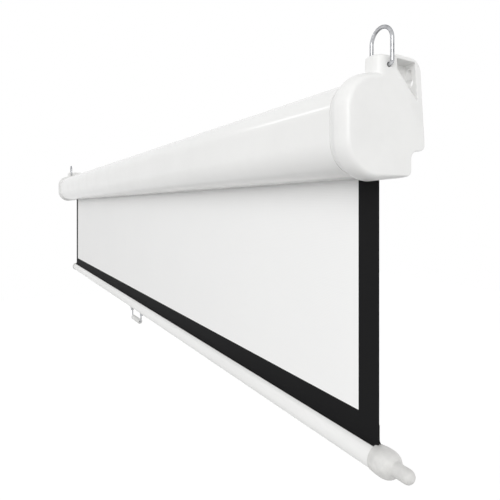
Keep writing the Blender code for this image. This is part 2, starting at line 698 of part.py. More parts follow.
def make_ratchet_and_shaft():
    hub = prism(hub_outline(), ALONG_X, RATCHET_START, RATCHET_END)
    hub = add_part("ratchet_hub", sided(hub, LEFT), "zinc_steel")
    bore = rod(RATCHET_START - CUT_PAST, RATCHET_END + CUT_PAST, SHAFT_RADIUS + GAP, ROLLER_Y, 0)
    cut(hub, sided(bore, LEFT))
    shaft_end = COLLAR_START - COLLAR_LENGTH - SHAFT_RADIUS
    shaft = rod(shaft_end, BOSS_START - GAP, SHAFT_RADIUS, ROLLER_Y, 0)
    shaft = add_part("spring_shaft", sided(shaft, LEFT), "zinc_steel")
    tongue_low = (BOSS_START - 2 * CLIP_WIDTH, ROLLER_Y - TONGUE_THICKNESS / 2, -TONGUE_HEIGHT / 2)
    socket_end = SOCKET_START + SOCKET_LENGTH
    tongue_high = (socket_end - GAP, ROLLER_Y + TONGUE_THICKNESS / 2, TONGUE_HEIGHT / 2)
    join(shaft, sided(block(tongue_low, tongue_high), LEFT))
    socket = rod(SOCKET_START, socket_end, SOCKET_RADIUS, ROLLER_Y, 0)
    socket = add_part("shaft_socket", sided(socket, LEFT), "zinc_steel")
    hole_low = (SOCKET_START - CUT_PAST, tongue_low[1] - GAP, tongue_low[2] - GAP)
    hole_high = (socket_end + CUT_PAST, tongue_high[1] + GAP, tongue_high[2] + GAP)
    cut(socket, sided(block(hole_low, hole_high), LEFT))
    collar_end = COLLAR_START - COLLAR_LENGTH
    collar = ring(collar_end, COLLAR_START, SHAFT_RADIUS + GAP, TUBE_BORE - RUNNING_GAP, ROLLER_Y, 0)
    collar = add_part("spring_collar", sided(collar, LEFT), "nylon")
    for name, carrier, x, half in (
        ("hub_pin", hub, (RATCHET_START + RATCHET_END) / 2, HUB_RADIUS - HUB_STEP - GAP),
        ("collar_pin", collar, (COLLAR_START + collar_end) / 2, TUBE_BORE - 2 * RUNNING_GAP - HUB_STEP),
    ):
        pin = upright_rod(x, ROLLER_Y, -half, half, CROSS_PIN_RADIUS)
        add_part(name, sided(pin, LEFT), "spring_steel")
        for drilled in (carrier, shaft):
            hole = upright_rod(x, ROLLER_Y, -TUBE_RADIUS, TUBE_RADIUS, CROSS_PIN_RADIUS + GAP)
            cut(drilled, sided(hole, LEFT))
    bush = ring(SOCKET_START, socket_end, IDLER_RADIUS + RUNNING_GAP, SOCKET_RADIUS, ROLLER_Y, 0)
    add_part("bearing_bush", bush, "nylon")


def make_spring(points_per_turn=9):
    start, end = SPRING_START, SPRING_START - SPRING_LENGTH
    coil_start, coil_end = start - SPRING_WIRE, end + SPRING_WIRE
    count = SPRING_TURNS * points_per_turn
    path = [(start, ROLLER_Y + SPRING_RADIUS, 0)]
    for step in range(count + 1):
        angle = 2 * math.pi * step / points_per_turn
        x = coil_start + (coil_end - coil_start) * step / count
        path.append((x, ROLLER_Y + SPRING_RADIUS * math.cos(angle), SPRING_RADIUS * math.sin(angle)))
    path.append((end, ROLLER_Y + SPRING_RADIUS, 0))
    add_part("torsion_spring", sided(wire(path, SPRING_WIRE / 2), LEFT), "spring_steel")
    print(f"least gap between spring coils: {SPRING_PITCH - SPRING_WIRE:.4f} m")


def make_fabric(drop):
    half_backing = BACKING_THICKNESS / 2
    low = (-HALF_FABRIC, FABRIC_Y - half_backing, FABRIC_LOW)
    high = (HALF_FABRIC, FABRIC_Y + half_backing, 0)
    add_part("fabric_backing", block(low, high), "black_backing", drop, smooth=False)
    front = FABRIC_Y - half_backing - GAP
    white_low = BAR_Z + BAR_RADIUS - BORDER_IN_SLOT + BORDER
    low = (-HALF_FABRIC + BORDER, front - COATING_THICKNESS, white_low)
    high = (HALF_FABRIC - BORDER, front, 0)
    add_part("viewing_surface", block(low, high), "matte_white", drop, smooth=False)


def bar_outline():
    outer = math.degrees(math.asin(BAR_SLOT / 2 / BAR_RADIUS))
    inner = math.degrees(math.asin(BAR_SLOT / 2 / BAR_BORE))
    outline = arc(FABRIC_Y, BAR_Z, BAR_RADIUS, 90 - outer, outer - 270, ROUND_STEPS)
    return outline + arc(FABRIC_Y, BAR_Z, BAR_BORE, inner - 270, 90 - inner, ROUND_STEPS)


def make_bar(drop):
    bar = prism(bar_outline(), ALONG_X, -BAR_HALF, BAR_HALF)
    bar = add_part("weight_bar", bar, "bar_enamel", drop)
    under = BAR_Z - BAR_RADIUS
    for side in (RIGHT, LEFT):
        low, high = under - CUT_PAST, under + 2 * BAR_WALL
        cut(bar, upright_rod(rivet_x(side), FABRIC_Y, low, high, RIVET_RADIUS + GAP))
    hem_half = HALF_FABRIC - HEM_ROD_SHORT
    rolled_hem = rod(-hem_half, hem_half, HEM_ROD_RADIUS, FABRIC_Y, HEM_ROD_Z)
    add_part("hem_rod", rolled_hem, "black_backing", drop)


def bar_cap_profile():
    """From the pin's round tip, over the bulge to the sleeve's lip, then back along the bore."""
    end = HALF_FABRIC + BAR_CAP_LENGTH
    profile = arc(end + BAR_PIN_LENGTH - BAR_PIN_RADIUS, 0, BAR_PIN_RADIUS, 0, 90, 5)
    bulge, shoulder = BAR_CAP_RADIUS, BAR_CAP_RADIUS - BAR_PIN_RADIUS
    stretch = BAR_CAP_LENGTH / 2 / shoulder
    round_off = arc(0, 0, shoulder, 0, 90, 5)
    profile += [(end - BAR_CAP_LENGTH / 2 + u * stretch, bulge - shoulder + v) for u, v in round_off]
    sleeve_start, sleeve_bore = HALF_FABRIC - BAR_CAP_LAP, BAR_RADIUS + GAP
    profile += [(HALF_FABRIC + BAR_CAP_FLARE, bulge), (sleeve_start, sleeve_bore + BAR_CAP_LIP), (sleeve_start, sleeve_bore)]
    return profile + [(BAR_HALF + GAP, sleeve_bore), (BAR_HALF + GAP, 0)]


def make_bar_cap(name, side, drop):
    cap = sided(turned(bar_cap_profile(), FABRIC_Y, BAR_Z), side)
    cap = add_part(name, cap, "bar_cap_plastic", drop)
    half_cut = BACKING_THICKNESS / 2 + CLIP_WIDTH
    low = (HALF_FABRIC - BAR_CAP_LAP - CUT_PAST, FABRIC_Y - half_cut, LIP_Z)
    high = (HALF_FABRIC + 2 * GAP, FABRIC_Y + half_cut, BAR_Z + BAR_CAP_RADIUS + CUT_PAST)
    cut(cap, sided(block(low, high), side))


def rivet_x(side):
    return HANDLE_OFFSET + side * (HANDLE_WIDTH / 2 + EYE_LENGTH + EYE_TAB / 2)


def make_handle_eye(name, side, drop):
    eye_start = HANDLE_WIDTH / 2
    eye_end, tab_end = eye_start + EYE_LENGTH, eye_start + EYE_LENGTH + EYE_TAB
    under, top = BAR_Z - BAR_RADIUS, BAR_Z - BAR_BORE
    low_y, high_y = FABRIC_Y - EYE_WIDTH / 2, FABRIC_Y + EYE_WIDTH / 2
    shift = Matrix.Translation((HANDLE_OFFSET, 0, 0))

    def placed(mesh):
        mesh = sided(mesh, side)
        mesh.transform(shift)
        return mesh

    eye_low = HANDLE_PIVOT_Z - EYE_WIDTH / 2
    lug = placed(block((eye_start, low_y, eye_low), (eye_end, high_y, top)))
    eye = add_part(name, lug, "zinc_steel", drop)
    tab_low = under - EYE_TAB_THICKNESS
    join(eye, placed(block((eye_end - LEAST_RADIUS, low_y, tab_low), (tab_end, high_y, top))))
    cut_start, cut_end = eye_start - CUT_PAST, tab_end + CUT_PAST
    saddle = rod(cut_start, cut_end, BAR_RADIUS + GAP, FABRIC_Y, BAR_Z, 2 * ROUND_STEPS)
    cut(eye, placed(saddle))
    hole_radius = HANDLE_WIRE_RADIUS + RUNNING_GAP
    cut(eye, placed(rod(cut_start, eye_end + CUT_PAST, hole_radius, FABRIC_Y, HANDLE_PIVOT_Z)))
    cut(eye, upright_rod(rivet_x(side), FABRIC_Y, tab_low - CUT_PAST, top, RIVET_RADIUS + GAP))


def make_rivet(name, side, drop):
    seat = BAR_Z - BAR_RADIUS - EYE_TAB_THICKNESS - GAP
    tail = BAR_Z - math.sqrt(BAR_BORE ** 2 - RIVET_HEAD_RADIUS ** 2) + GAP
    low, high = seat - RIVET_HEAD, tail + RIVET_HEAD
    half = [(low, 0), (low, RIVET_HEAD_RADIUS), (seat, RIVET_HEAD_RADIUS), (seat, RIVET_RADIUS)]
    half += [(tail, RIVET_RADIUS), (tail, RIVET_HEAD_RADIUS), (high, RIVET_HEAD_RADIUS), (high, 0)]
    rivet = upright(turned(half, steps=SMALL_STEPS), rivet_x(side), FABRIC_Y)
    add_part(name, rivet, "zinc_steel", drop)


def make_handle(drop):
    swing = pivot("pull_handle_pivot", HANDLE_OFFSET, FABRIC_Y, HANDLE_PIVOT_Z)
    swing.parent = drop
    swing.matrix_parent_inverse = drop.matrix_world.inverted()
    bpy.context.view_layer.update()
    foot = HANDLE_WIDTH / 2 + EYE_LENGTH + HANDLE_WIRE_RADIUS
    leg = HANDLE_WIDTH / 2 - GAP - HANDLE_WIRE_RADIUS
    low = GRIP_LENGTH / 2 + HANDLE_BEND
    corners = [(-foot, 0), (-leg, 0), (-leg, -HANDLE_LEG), (-low, -HANDLE_DROP)]
    corners += [(-u, v) for u, v in reversed(corners)]
    path = rounded_path([(HANDLE_OFFSET + u, FABRIC_Y, HANDLE_PIVOT_Z + v) for u, v in corners], HANDLE_BEND)
    add_part("handle_wire", wire(path, HANDLE_WIRE_RADIUS), "chrome_wire", swing)
    half, bore, edge = GRIP_LENGTH / 2, HANDLE_WIRE_RADIUS + GAP, HANDLE_WIRE_RADIUS
    profile = [(-half, bore), (-half, GRIP_RADIUS - edge), (edge - half, GRIP_RADIUS)]
    profile += [(-u, v) for u, v in reversed(profile)]
    profile = [(HANDLE_OFFSET + x, radius) for x, radius in profile]
    grip = turned(profile, FABRIC_Y, HANDLE_PIVOT_Z - HANDLE_DROP, SMALL_STEPS, closed=True)
    add_part("handle_grip", grip, "grip_plastic", swing)


make_case()
for word, end_side in (("left", LEFT), ("right", RIGHT)):
    make_end_cap(f"end_cap_{word}", end_side)
    make_cap_screws(f"cap_screw_{word}", end_side)
    make_hanger(f"hanger_{word}", end_side)
make_ratchet_and_shaft()
make_spring()
roller_axle = pivot("roller_axle", 0, ROLLER_Y, 0)
make_roller(roller_axle)
make_pawls(roller_axle)
screen_drop = pivot("screen_drop", 0, FABRIC_Y, BAR_Z)
make_fabric(screen_drop)
make_bar(screen_drop)
for word, end_side in (("left", LEFT), ("right", RIGHT)):
    make_bar_cap(f"bar_cap_{word}", end_side, screen_drop)
    make_handle_eye(f"handle_eye_{word}", end_side, screen_drop)
    make_rivet(f"handle_rivet_{word}", end_side, screen_drop)
make_handle(screen_drop)
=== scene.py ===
import math

import bmesh
import bpy
from mathutils import Matrix, Vector


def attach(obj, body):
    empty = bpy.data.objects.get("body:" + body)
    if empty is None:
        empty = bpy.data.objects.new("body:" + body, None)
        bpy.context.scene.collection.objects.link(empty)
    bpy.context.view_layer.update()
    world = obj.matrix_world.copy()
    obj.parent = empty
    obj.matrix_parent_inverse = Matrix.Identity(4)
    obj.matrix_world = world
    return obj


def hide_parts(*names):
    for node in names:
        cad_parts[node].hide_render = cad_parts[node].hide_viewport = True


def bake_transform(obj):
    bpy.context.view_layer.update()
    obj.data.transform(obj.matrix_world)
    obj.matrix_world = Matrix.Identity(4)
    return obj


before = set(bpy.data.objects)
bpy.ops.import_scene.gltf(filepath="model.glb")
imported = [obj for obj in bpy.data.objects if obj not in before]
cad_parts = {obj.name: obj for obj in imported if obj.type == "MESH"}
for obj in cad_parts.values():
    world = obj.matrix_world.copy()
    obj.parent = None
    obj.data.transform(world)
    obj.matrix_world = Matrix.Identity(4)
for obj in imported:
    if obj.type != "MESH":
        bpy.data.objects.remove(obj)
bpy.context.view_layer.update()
print("frame loaded:", len(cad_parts), "nodes")

# where things are, in metres: x along the case, y into the wall, z up from the roller's axis
layout = {
    "halfCloth": 0.8835,  # half the cloth's width
    "border": 0.030,
    "clothY": -0.026,
    "rollerY": -0.0526,
    "caseHalf": 0.8875,
    "capFace": 0.9165,
    "barZ": -0.3155,
    "hair": 0.0003,  # the gap kept between pieces that touch
}


def arc(y, z, radius, start, end, steps):
    angles = [math.radians(start + (end - start) * i / steps) for i in range(steps + 1)]
    return [(y + radius * math.cos(a), z + radius * math.sin(a)) for a in angles]


def ease(value):
    value = min(max(value, 0.0), 1.0)
    return value * value * (3 - 2 * value)


def newObject(name, mesh, sharpAngle=34):
    piece = bpy.data.objects.new(name, mesh)
    bpy.context.scene.collection.objects.link(piece)
    mesh.shade_smooth()
    mesh.set_sharp_from_angle(angle=math.radians(sharpAngle))
    return piece


def meshFrom(shape, name="shape"):
    bmesh.ops.remove_doubles(shape, verts=shape.verts, dist=1e-7)
    bmesh.ops.recalc_face_normals(shape, faces=shape.faces)
    mesh = bpy.data.meshes.new(name)
    shape.to_mesh(mesh)
    shape.free()
    return mesh


def lathe(profile, y=0.0, z=0.0, steps=64, closed=False):
    # profile of (x, radius) points turned about the line along X through (y, z)
    shape = bmesh.new()
    turn = [2 * math.pi * i / steps for i in range(steps)]
    rings = []
    for x, radius in profile:
        angles = turn if radius > 1e-9 else [0.0]
        spots = [(x, y + radius * math.cos(a), z + radius * math.sin(a)) for a in angles]
        rings.append([shape.verts.new(spot) for spot in spots])
    pairs = list(zip(rings, rings[1:]))
    if closed:
        pairs.append((rings[-1], rings[0]))
    for one, two in pairs:
        for i in range(steps):
            k = (i + 1) % steps
            if len(one) == 1:
                shape.faces.new((one[0], two[i], two[k]))
            elif len(two) == 1:
                shape.faces.new((one[i], two[0], one[k]))
            else:
                shape.faces.new((one[i], two[i], two[k], one[k]))
    return meshFrom(shape)


def extruded(outline, start, end, along="x"):
    # outline is (y, z) along x, (x, z) along y and (x, y) along z
    place = {
        "x": lambda u, v, t: (t, u, v),
        "y": lambda u, v, t: (u, t, v),
        "z": lambda u, v, t: (u, v, t),
    }[along]
    shape = bmesh.new()
    rows = [[shape.verts.new(place(u, v, t)) for u, v in outline] for t in (start, end)]
    for i in range(len(outline)):
        k = (i + 1) % len(outline)
        shape.faces.new((rows[0][i], rows[0][k], rows[1][k], rows[1][i]))
    shape.faces.new(rows[0])
    shape.faces.new(rows[1])
    return meshFrom(shape)


def boxMesh(low, high):
    outline = [(low[0], low[1]), (high[0], low[1]), (high[0], high[1]), (low[0], high[1])]
    return extruded(outline, low[2], high[2], "z")


def alongY(mesh, x=0.0, z=0.0):
    # a shape turned about X, laid along Y instead
    laid = Matrix(((0, 0, 1, 0), (1, 0, 0, 0), (0, 1, 0, 0), (0, 0, 0, 1)))
    mesh.transform(Matrix.Translation((x, 0, z)) @ laid)
    return mesh


def mirrored(mesh, side):
    # meshes are made for the right end; the left one is their mirror image
    if side < 0:
        mesh.transform(Matrix.Scale(-1, 4, (1, 0, 0)))
        mesh.flip_normals()
    return mesh


def roundedPath(corners, bend, steps=10):
    corners = [Vector(c) for c in corners]
    path = [corners[0]]
    for before, corner, after in zip(corners, corners[1:], corners[2:]):
        back, on = (before - corner).normalized(), (after - corner).normalized()
        halfAngle = back.angle(on) / 2
        centre = corner + (back + on).normalized() * (bend / math.sin(halfAngle))
        first = corner + back * (bend / math.tan(halfAngle)) - centre
        last = corner + on * (bend / math.tan(halfAngle)) - centre
        path += [centre + first.slerp(last, i / steps) * bend for i in range(steps + 1)]
    return path + [corners[-1]]


# the least step along a wire and the rounding of its cut ends, in shares of its radius
wireLook = {"step": 0.05, "tip": 0.7, "out": 0.24, "back": 0.06}


def wireMesh(points, radius, sides=16):
    # a round wire swept along the points, with slightly rounded ends
    points = [Vector(p) for p in points]
    clean = [points[0]]
    for p in points[1:]:
        if (p - clean[-1]).length > radius * wireLook["step"]:
            clean.append(p)
    points, last = clean, len(clean) - 1
    turns = [2 * math.pi * k / sides for k in range(sides)]
    shape = bmesh.new()
    rings = []
    tangent = (points[1] - points[0]).normalized()
    side = tangent.orthogonal().normalized()
    for i, p in enumerate(points):
        ahead = points[min(i + 1, last)] - points[max(i - 1, 0)]
        turn = tangent.rotation_difference(ahead.normalized())
        side = turn @ side
        tangent = ahead.normalized()
        other = tangent.cross(side)
        circles = [(radius, 0.0)]
        if i in (0, last):
            out = radius if i else -radius
            circles = [(radius, -out * wireLook["back"]), (radius * wireLook["tip"], out * wireLook["out"])]
        for r, push in circles if i else circles[::-1]:
            middle = p + tangent * push
            spots = [middle + (side * math.cos(a) + other * math.sin(a)) * r for a in turns]
            rings.append([shape.verts.new(spot) for spot in spots])
    for one, two in zip(rings, rings[1:]):
        for k in range(sides):
            n = (k + 1) % sides
            shape.faces.new((one[k], one[n], two[n], two[k]))
    shape.faces.new(rings[0])
    shape.faces.new(rings[-1])
    return meshFrom(shape)


def softenEdges(piece, width, segments=2, angle=50):
    edge = piece.modifiers.new("edge", "BEVEL")
    edge.width = width
    edge.segments = segments
    edge.limit_method = "ANGLE"
    edge.angle_limit = math.radians(angle)
    return edge


def workPiece(name, mesh, rounding=0.0):
    piece = bpy.data.objects.new(name, mesh)
    bpy.context.scene.collection.objects.link(piece)
    if rounding:
        softenEdges(piece, rounding, 4, 38)
    return piece


def carved(mesh, cutters, name, rounding=0.0):
    # the mesh with its edges rounded, if asked, and then every cutter's shape taken out
    body = workPiece(name, mesh, rounding)
    tools = [workPiece(name + "Tool", cutter) for cutter in cutters]
    for tool in tools:
        boolean = body.modifiers.new("cut", "BOOLEAN")
        boolean.operation = "DIFFERENCE"
        boolean.object = tool
        boolean.use_hole_tolerant = True
    bpy.context.view_layer.update()
    made = bpy.data.meshes.new_from_object(body.evaluated_get(bpy.context.evaluated_depsgraph_get()))
    for piece in [body, *tools]:
        bpy.data.objects.remove(piece, do_unlink=True)
    return made


# coats of paint, plastic and metal: how far the colour varies, how rough and how grainy they are
finishes = {
    "caseEnamel": {
        "colour": (0.815, 0.815, 0.805), "shade": 0.025, "patch": 9,
        "rough": 0.17, "grain": 700, "bump": 0.016,
    },
    "capPlastic": {
        "colour": (0.80, 0.80, 0.79), "shade": 0.03, "patch": 22,
        "rough": 0.36, "grain": 2600, "bump": 0.05,
    },
    "barEnamel": {
        "colour": (0.84, 0.84, 0.83), "shade": 0.05, "patch": 14,
        "rough": 0.38, "grain": 1500, "bump": 0.06, "stretch": (0.15, 1, 1),
    },
    "barCapPlastic": {
        "colour": (0.68, 0.675, 0.66), "shade": 0.13, "patch": 70,
        "rough": 0.48, "grain": 1900, "bump": 0.09,
    },
    "gripPlastic": {
        "colour": (0.70, 0.70, 0.69), "shade": 0.05, "patch": 60,
        "rough": 0.45, "grain": 2400, "bump": 0.06,
    },
    "nylon": {
        "colour": (0.70, 0.69, 0.63), "shade": 0.05, "patch": 50,
        "rough": 0.52, "grain": 1700, "bump": 0.06,
    },
    # the chrome's base colour is darkened and strongly mottled: painted reflections of the surroundings, as
    # dark and light patches and dark specks
    "chromeWire": {
        "colour": (0.50, 0.505, 0.52), "shade": 0.34, "patch": 210,
        "rough": 0.18, "grain": 3000, "bump": 0.02, "metal": 1.0, "edge": (0.25, 0.26, 0.29),
    },
    "zincSteel": {
        "colour": (0.55, 0.565, 0.585), "shade": 0.16, "patch": 90,
        "rough": 0.36, "grain": 2200, "bump": 0.06, "metal": 1.0,
    },
    "springSteel": {
        "colour": (0.20, 0.20, 0.215), "shade": 0.22, "patch": 140,
        "rough": 0.34, "grain": 2600, "bump": 0.05, "metal": 1.0,
    },
}
# the screen's two cloths: colour on the threads and between them, and how they shine
weaves = {
    "screenWhite": {
        "light": (0.913, 0.913, 0.907), "dark": (0.756, 0.756, 0.756),
        "rough": 0.93, "sheen": 0.02, "specular": 0.5,
    },
    "screenBlack": {
        "light": (0.008, 0.008, 0.0085), "dark": (0.0045, 0.0045, 0.005),
        "rough": 0.88, "sheen": 0.0, "specular": 0.14,
    },
}
threads = {"perMetre": 1150.0, "relief": 0.10, "uneven": 0.25}


class Tree:
    # short way to add and wire up shader nodes
    def __init__(self, name):
        self.material = bpy.data.materials.new(name)
        self.material.use_nodes = True
        self.nodes = self.material.node_tree.nodes
        self.links = self.material.node_tree.links
        self.shader = self.nodes["Principled BSDF"]
        self.place = self.nodes.new("ShaderNodeTexCoord").outputs["Object"]

    def add(self, kind, values=None, **settings):
        node = self.nodes.new("ShaderNode" + kind)
        for key, value in settings.items():
            setattr(node, key, value)
        for key, value in (values or {}).items():
            if isinstance(value, bpy.types.NodeSocket):
                self.links.new(value, node.inputs[key])
            else:
                node.inputs[key].default_value = value
        return node

    def noise(self, scale, detail=3.0, rough=0.55, stretch=(1, 1, 1)):
        place = self.add("Mapping", {"Vector": self.place, "Scale": stretch}).outputs[0]
        values = {"Vector": place, "Scale": scale, "Detail": detail, "Roughness": rough}
        return self.add("TexNoise", values).outputs["Fac"]

    def ramp(self, value, low, high, start=0.3, end=0.7):
        values = {"Value": value, "From Min": start, "From Max": end, "To Min": low, "To Max": high}
        return self.add("MapRange", values).outputs[0]

    def mixed(self, amount, one, two):
        return self.add("Mix", {0: amount, 6: one, 7: two}, data_type="RGBA").outputs[2]

    def combine(self, operation, one, two):
        return self.add("Math", {0: one, 1: two}, operation=operation).outputs[0]

    def feed(self, key, value):
        self.links.new(value, self.shader.inputs[key])

    def bump(self, height, strength, distance=0.0002):
        node = self.add("Bump", {"Height": height, "Strength": strength, "Distance": distance})
        self.links.new(node.outputs[0], self.shader.inputs["Normal"])


def tint(colour, factor):
    return (*[min(max(c * factor, 0.0), 1.0) for c in colour], 1.0)


def coated(name):
    # paint, plastic or metal: soft patches of shade, fine dust specks, uneven gloss and a fine grain; on the
    # chrome wire the strong dark and light patches and the dark specks are painted reflections
    look = finishes[name]
    stretch = look.get("stretch", (1, 1, 1))
    colour, shade = look["colour"], look["shade"]
    tree = Tree(name)
    patches = tree.ramp(tree.noise(look["patch"], 4.0, 0.6, stretch), 0, 1, 0.32, 0.68)
    base = tree.mixed(patches, tint(colour, 1 - shade), tint(colour, 1 + shade / 2))
    specks = tree.ramp(tree.noise(look["grain"] * 0.35, 2.0, 0.5, stretch), 0, 0.35, 0.66, 0.80)
    tree.feed("Base Color", tree.mixed(specks, base, tint(colour, 1 - 2.2 * shade)))
    gloss = tree.noise(look["patch"] * 3.1, 5.0, 0.65, stretch)
    tree.feed("Roughness", tree.ramp(gloss, look["rough"] * 0.86, look["rough"] * 1.16, 0.3, 0.7))
    tree.shader.inputs["Metallic"].default_value = look.get("metal", 0.0)
    if "edge" in look:
        tree.shader.inputs["Specular Tint"].default_value = (*look["edge"], 1.0)
    tree.bump(tree.noise(look["grain"], 2.0, 0.5, stretch), look["bump"])
    return tree.material


def wovenCloth(name):
    # plain weave: two crossed sets of threads, with soft shade and odd slubs
    look = weaves[name]
    light, dark, rough = look["light"], (*look["dark"], 1.0), look["rough"]
    tree = Tree(name)
    # at scale 1 the wave texture draws 3.2 waves in a metre, and each wave is two threads
    wave = {
        "Vector": tree.place, "Scale": threads["perMetre"] / 6.3,
        "Distortion": threads["uneven"], "Detail": 1.0,
    }
    across = tree.add("TexWave", wave, bands_direction="X").outputs["Fac"]
    down = tree.add("TexWave", wave, bands_direction="Z").outputs["Fac"]
    weave = tree.combine("MULTIPLY", across, down)
    patches = tree.noise(5.0, 4.0, 0.6)
    slubs = tree.ramp(tree.noise(240.0, 2.0, 0.5, (0.12, 1, 1)), 0, 1, 0.62, 0.80)
    base = tree.mixed(tree.ramp(patches, 0, 1), tint(light, 0.985), tint(light, 1.0))
    base = tree.mixed(tree.ramp(weave, 0.30, 0.0, 0.0, 0.7), base, dark)
    tree.feed("Base Color", tree.mixed(tree.ramp(slubs, 0, 0.10, 0, 1), base, dark))
    tree.feed("Roughness", tree.ramp(patches, rough * 0.96, rough * 1.03))
    tree.shader.inputs["Sheen Weight"].default_value = look["sheen"]
    tree.shader.inputs["Sheen Roughness"].default_value = 0.5
    tree.shader.inputs["Specular IOR Level"].default_value = look["specular"]
    tree.bump(tree.combine("ADD", weave, slubs), threads["relief"])
    return tree.material


print("mixing finishes")
coats = {name: coated(name) for name in finishes}
cloths = {name: wovenCloth(name) for name in weaves}


def addPiece(name, mesh, material, body, stands=(), sharpAngle=34):
    mesh.materials.clear()
    mesh.materials.append(material)
    piece = newObject(name, mesh, sharpAngle)
    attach(piece, body)
    if stands:
        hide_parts(*stands)
    return piece


# the wall case: one folded sheet, open along the bottom where the cloth comes out
case = {
    "depth": 0.088, "top": 0.0443, "drop": 0.0445, "wall": 0.0012,
    "crownRadius": 0.100, "crownTilt": 14, "frontTopRadius": 0.030, "frontLowRadius": 0.032,
    "rearRadius": 0.004, "stepDepth": 0.017, "stepHeight": 0.0235, "stepRadius": 0.006,
    "hollowRadius": 0.008, "heelRadius": 0.003, "leastRadius": 0.0005,
    "slotFront": 0.005, "slotRear": 0.0055, "lipHeight": 0.005, "lipBend": 0.0022,
    "screwFromEnd": 0.007, "screwHeights": (0.026, -0.008),
    "screwHole": 0.0019, "screwDeep": 0.007, "holeDeep": 0.004,
    "screwMouth": 0.0035, "mouthDeep": 0.0012, "mouthOut": 0.0001, "past": 0.001, "edge": 0.00035,
}


def caseOutline(inset=0.0, lipBend=0.0, heel=None):
    front, back = -case["depth"] + inset, -inset
    top, low = case["top"] - inset, -case["drop"] + inset
    stepY, ledge = -case["stepDepth"] - inset, -case["drop"] + case["stepHeight"] + inset
    lowRadius, cornerRadius = case["frontLowRadius"] - inset, case["frontTopRadius"] - inset
    crownRadius, hollowRadius = case["crownRadius"] - inset, case["hollowRadius"] + inset
    rearRadius = max(case["rearRadius"] - inset, case["leastRadius"])
    stepRadius = max(case["stepRadius"] - inset, case["leastRadius"])
    heelRadius = max((heel or case["heelRadius"]) - inset, case["leastRadius"])
    tilt = math.radians(case["crownTilt"])
    crownY = front + cornerRadius + (crownRadius - cornerRadius) * math.sin(tilt)
    cornerZ = top - crownRadius + (crownRadius - cornerRadius) * math.cos(tilt)
    lipFront, lipRear = layout["clothY"] - case["slotFront"], layout["clothY"] + case["slotRear"]
    outline = [(lipFront, low)]
    if lipBend:
        outline = arc(lipFront - lipBend, low + lipBend, lipBend, 360, 270, 5)
    outline += arc(front + lowRadius, low + lowRadius, lowRadius, 270, 180, 24)
    outline += arc(front + cornerRadius, cornerZ, cornerRadius, 180, 90 + case["crownTilt"], 16)
    outline += arc(crownY, top - crownRadius, crownRadius, 90 + case["crownTilt"], 90, 12)[1:]
    outline += arc(back - rearRadius, top - rearRadius, rearRadius, 90, 0, 6)
    outline += arc(back - stepRadius, ledge + stepRadius, stepRadius, 0, -90, 6)
    outline += arc(stepY + hollowRadius, ledge - hollowRadius, hollowRadius, 90, 180, 6)
    outline += arc(stepY - heelRadius, low + heelRadius, heelRadius, 0, -90, 8)
    return outline + [(lipRear, low)]


def offsetLine(points, distance):
    # the open line moved sideways by the distance, to its left
    moved = []
    for i, (y, z) in enumerate(points):
        before, after = points[max(i - 1, 0)], points[min(i + 1, len(points) - 1)]
        run, rise = after[0] - before[0], after[1] - before[1]
        length = math.hypot(run, rise)
        moved.append((y - rise / length * distance, z + run / length * distance))
    return moved


def screwSeats(cone):
    # the cone-shaped cutter at each of the four cap screws, on the back of the case
    places = [side * (layout["caseHalf"] - case["screwFromEnd"]) for side in (1, -1)]
    return [alongY(lathe(cone, steps=32), x, z) for x in places for z in case["screwHeights"]]


def makeCase():
    lipZ = -case["drop"] + case["lipHeight"]
    outer = caseOutline(lipBend=case["lipBend"])
    outer = [(outer[0][0], lipZ)] + outer + [(outer[-1][0], lipZ)]
    inner = offsetLine(outer, -case["wall"])
    mesh = extruded(outer + inner[::-1], -layout["caseHalf"], layout["caseHalf"])
    hole, mouth = case["screwHole"], case["screwMouth"]
    cone = [(-case["holeDeep"], 0), (-case["holeDeep"], hole), (-case["mouthDeep"], hole)]
    cone += [(case["mouthOut"], mouth), (case["past"], mouth), (case["past"], 0)]
    shell = carved(mesh, screwSeats(cone), "caseWork")
    piece = addPiece("caseShell", shell, coats["caseEnamel"], "housing", ["case_shell"], 30)
    softenEdges(piece, case["edge"]).harden_normals = True


print("folding the case")
makeCase()


# the moulded end caps, with the hanger's ear and the wall flange
endCap = {
    "length": 0.029, "flare": 0.005, "flareLength": 0.014, "rimLength": 0.013, "rimInset": 0.0065,
    "flareFromWall": 0.010, "flareFullAt": 0.045, "heelRadius": 0.0048,
    "spigotLength": 0.014, "spigotWall": 0.002, "cavityDepth": 0.008, "endWall": 0.0025,
    "wellStart": 0.006, "wellRadius": 0.031, "bossStart": 0.0085, "bossRadius": 0.0125,
    "socketRadius": 0.009, "socketLength": 0.014,
    "earWidth": 0.0195, "earFront": 0.057, "earDepth": 0.023, "earTop": 0.064,
    "earCorner": 0.0095, "earEdge": 0.0036, "earRoot": 0.0045, "hangerHole": 0.0022,
    "flangeFoot": 0.034, "flangeTop": 0.0655, "flangeThick": 0.0075, "flangeRim": 0.0037,
    "flangeCorner": 0.012, "flangeSetIn": 0.0004, "flangeLean": 0.0058, "leanFoot": -0.013,
    "pocketFront": 0.0515, "pocketBack": 0.0225, "pocketDeep": 0.018, "pocketSlope": 1.45,
    "keyholeFromFace": 0.0125, "keyholeLow": 0.0445, "keyholeRise": 0.0105,
    "keyholeRadius": 0.0046, "keyholeSlot": 0.0025,
    "softening": 0.0005, "smoothing": 7, "keepFaces": 0.4,
    "past": 0.002,  # how far a cutter runs past the face it opens
}


def capSwell(depth):
    swell = endCap["flare"] * ease(depth / endCap["flareLength"])
    roundOver = (depth - endCap["length"] + endCap["rimLength"]) / endCap["rimLength"]
    if roundOver > 0:
        swell -= endCap["rimInset"] * (1 - math.sqrt(max(1 - roundOver ** 2, 0)))
    return swell


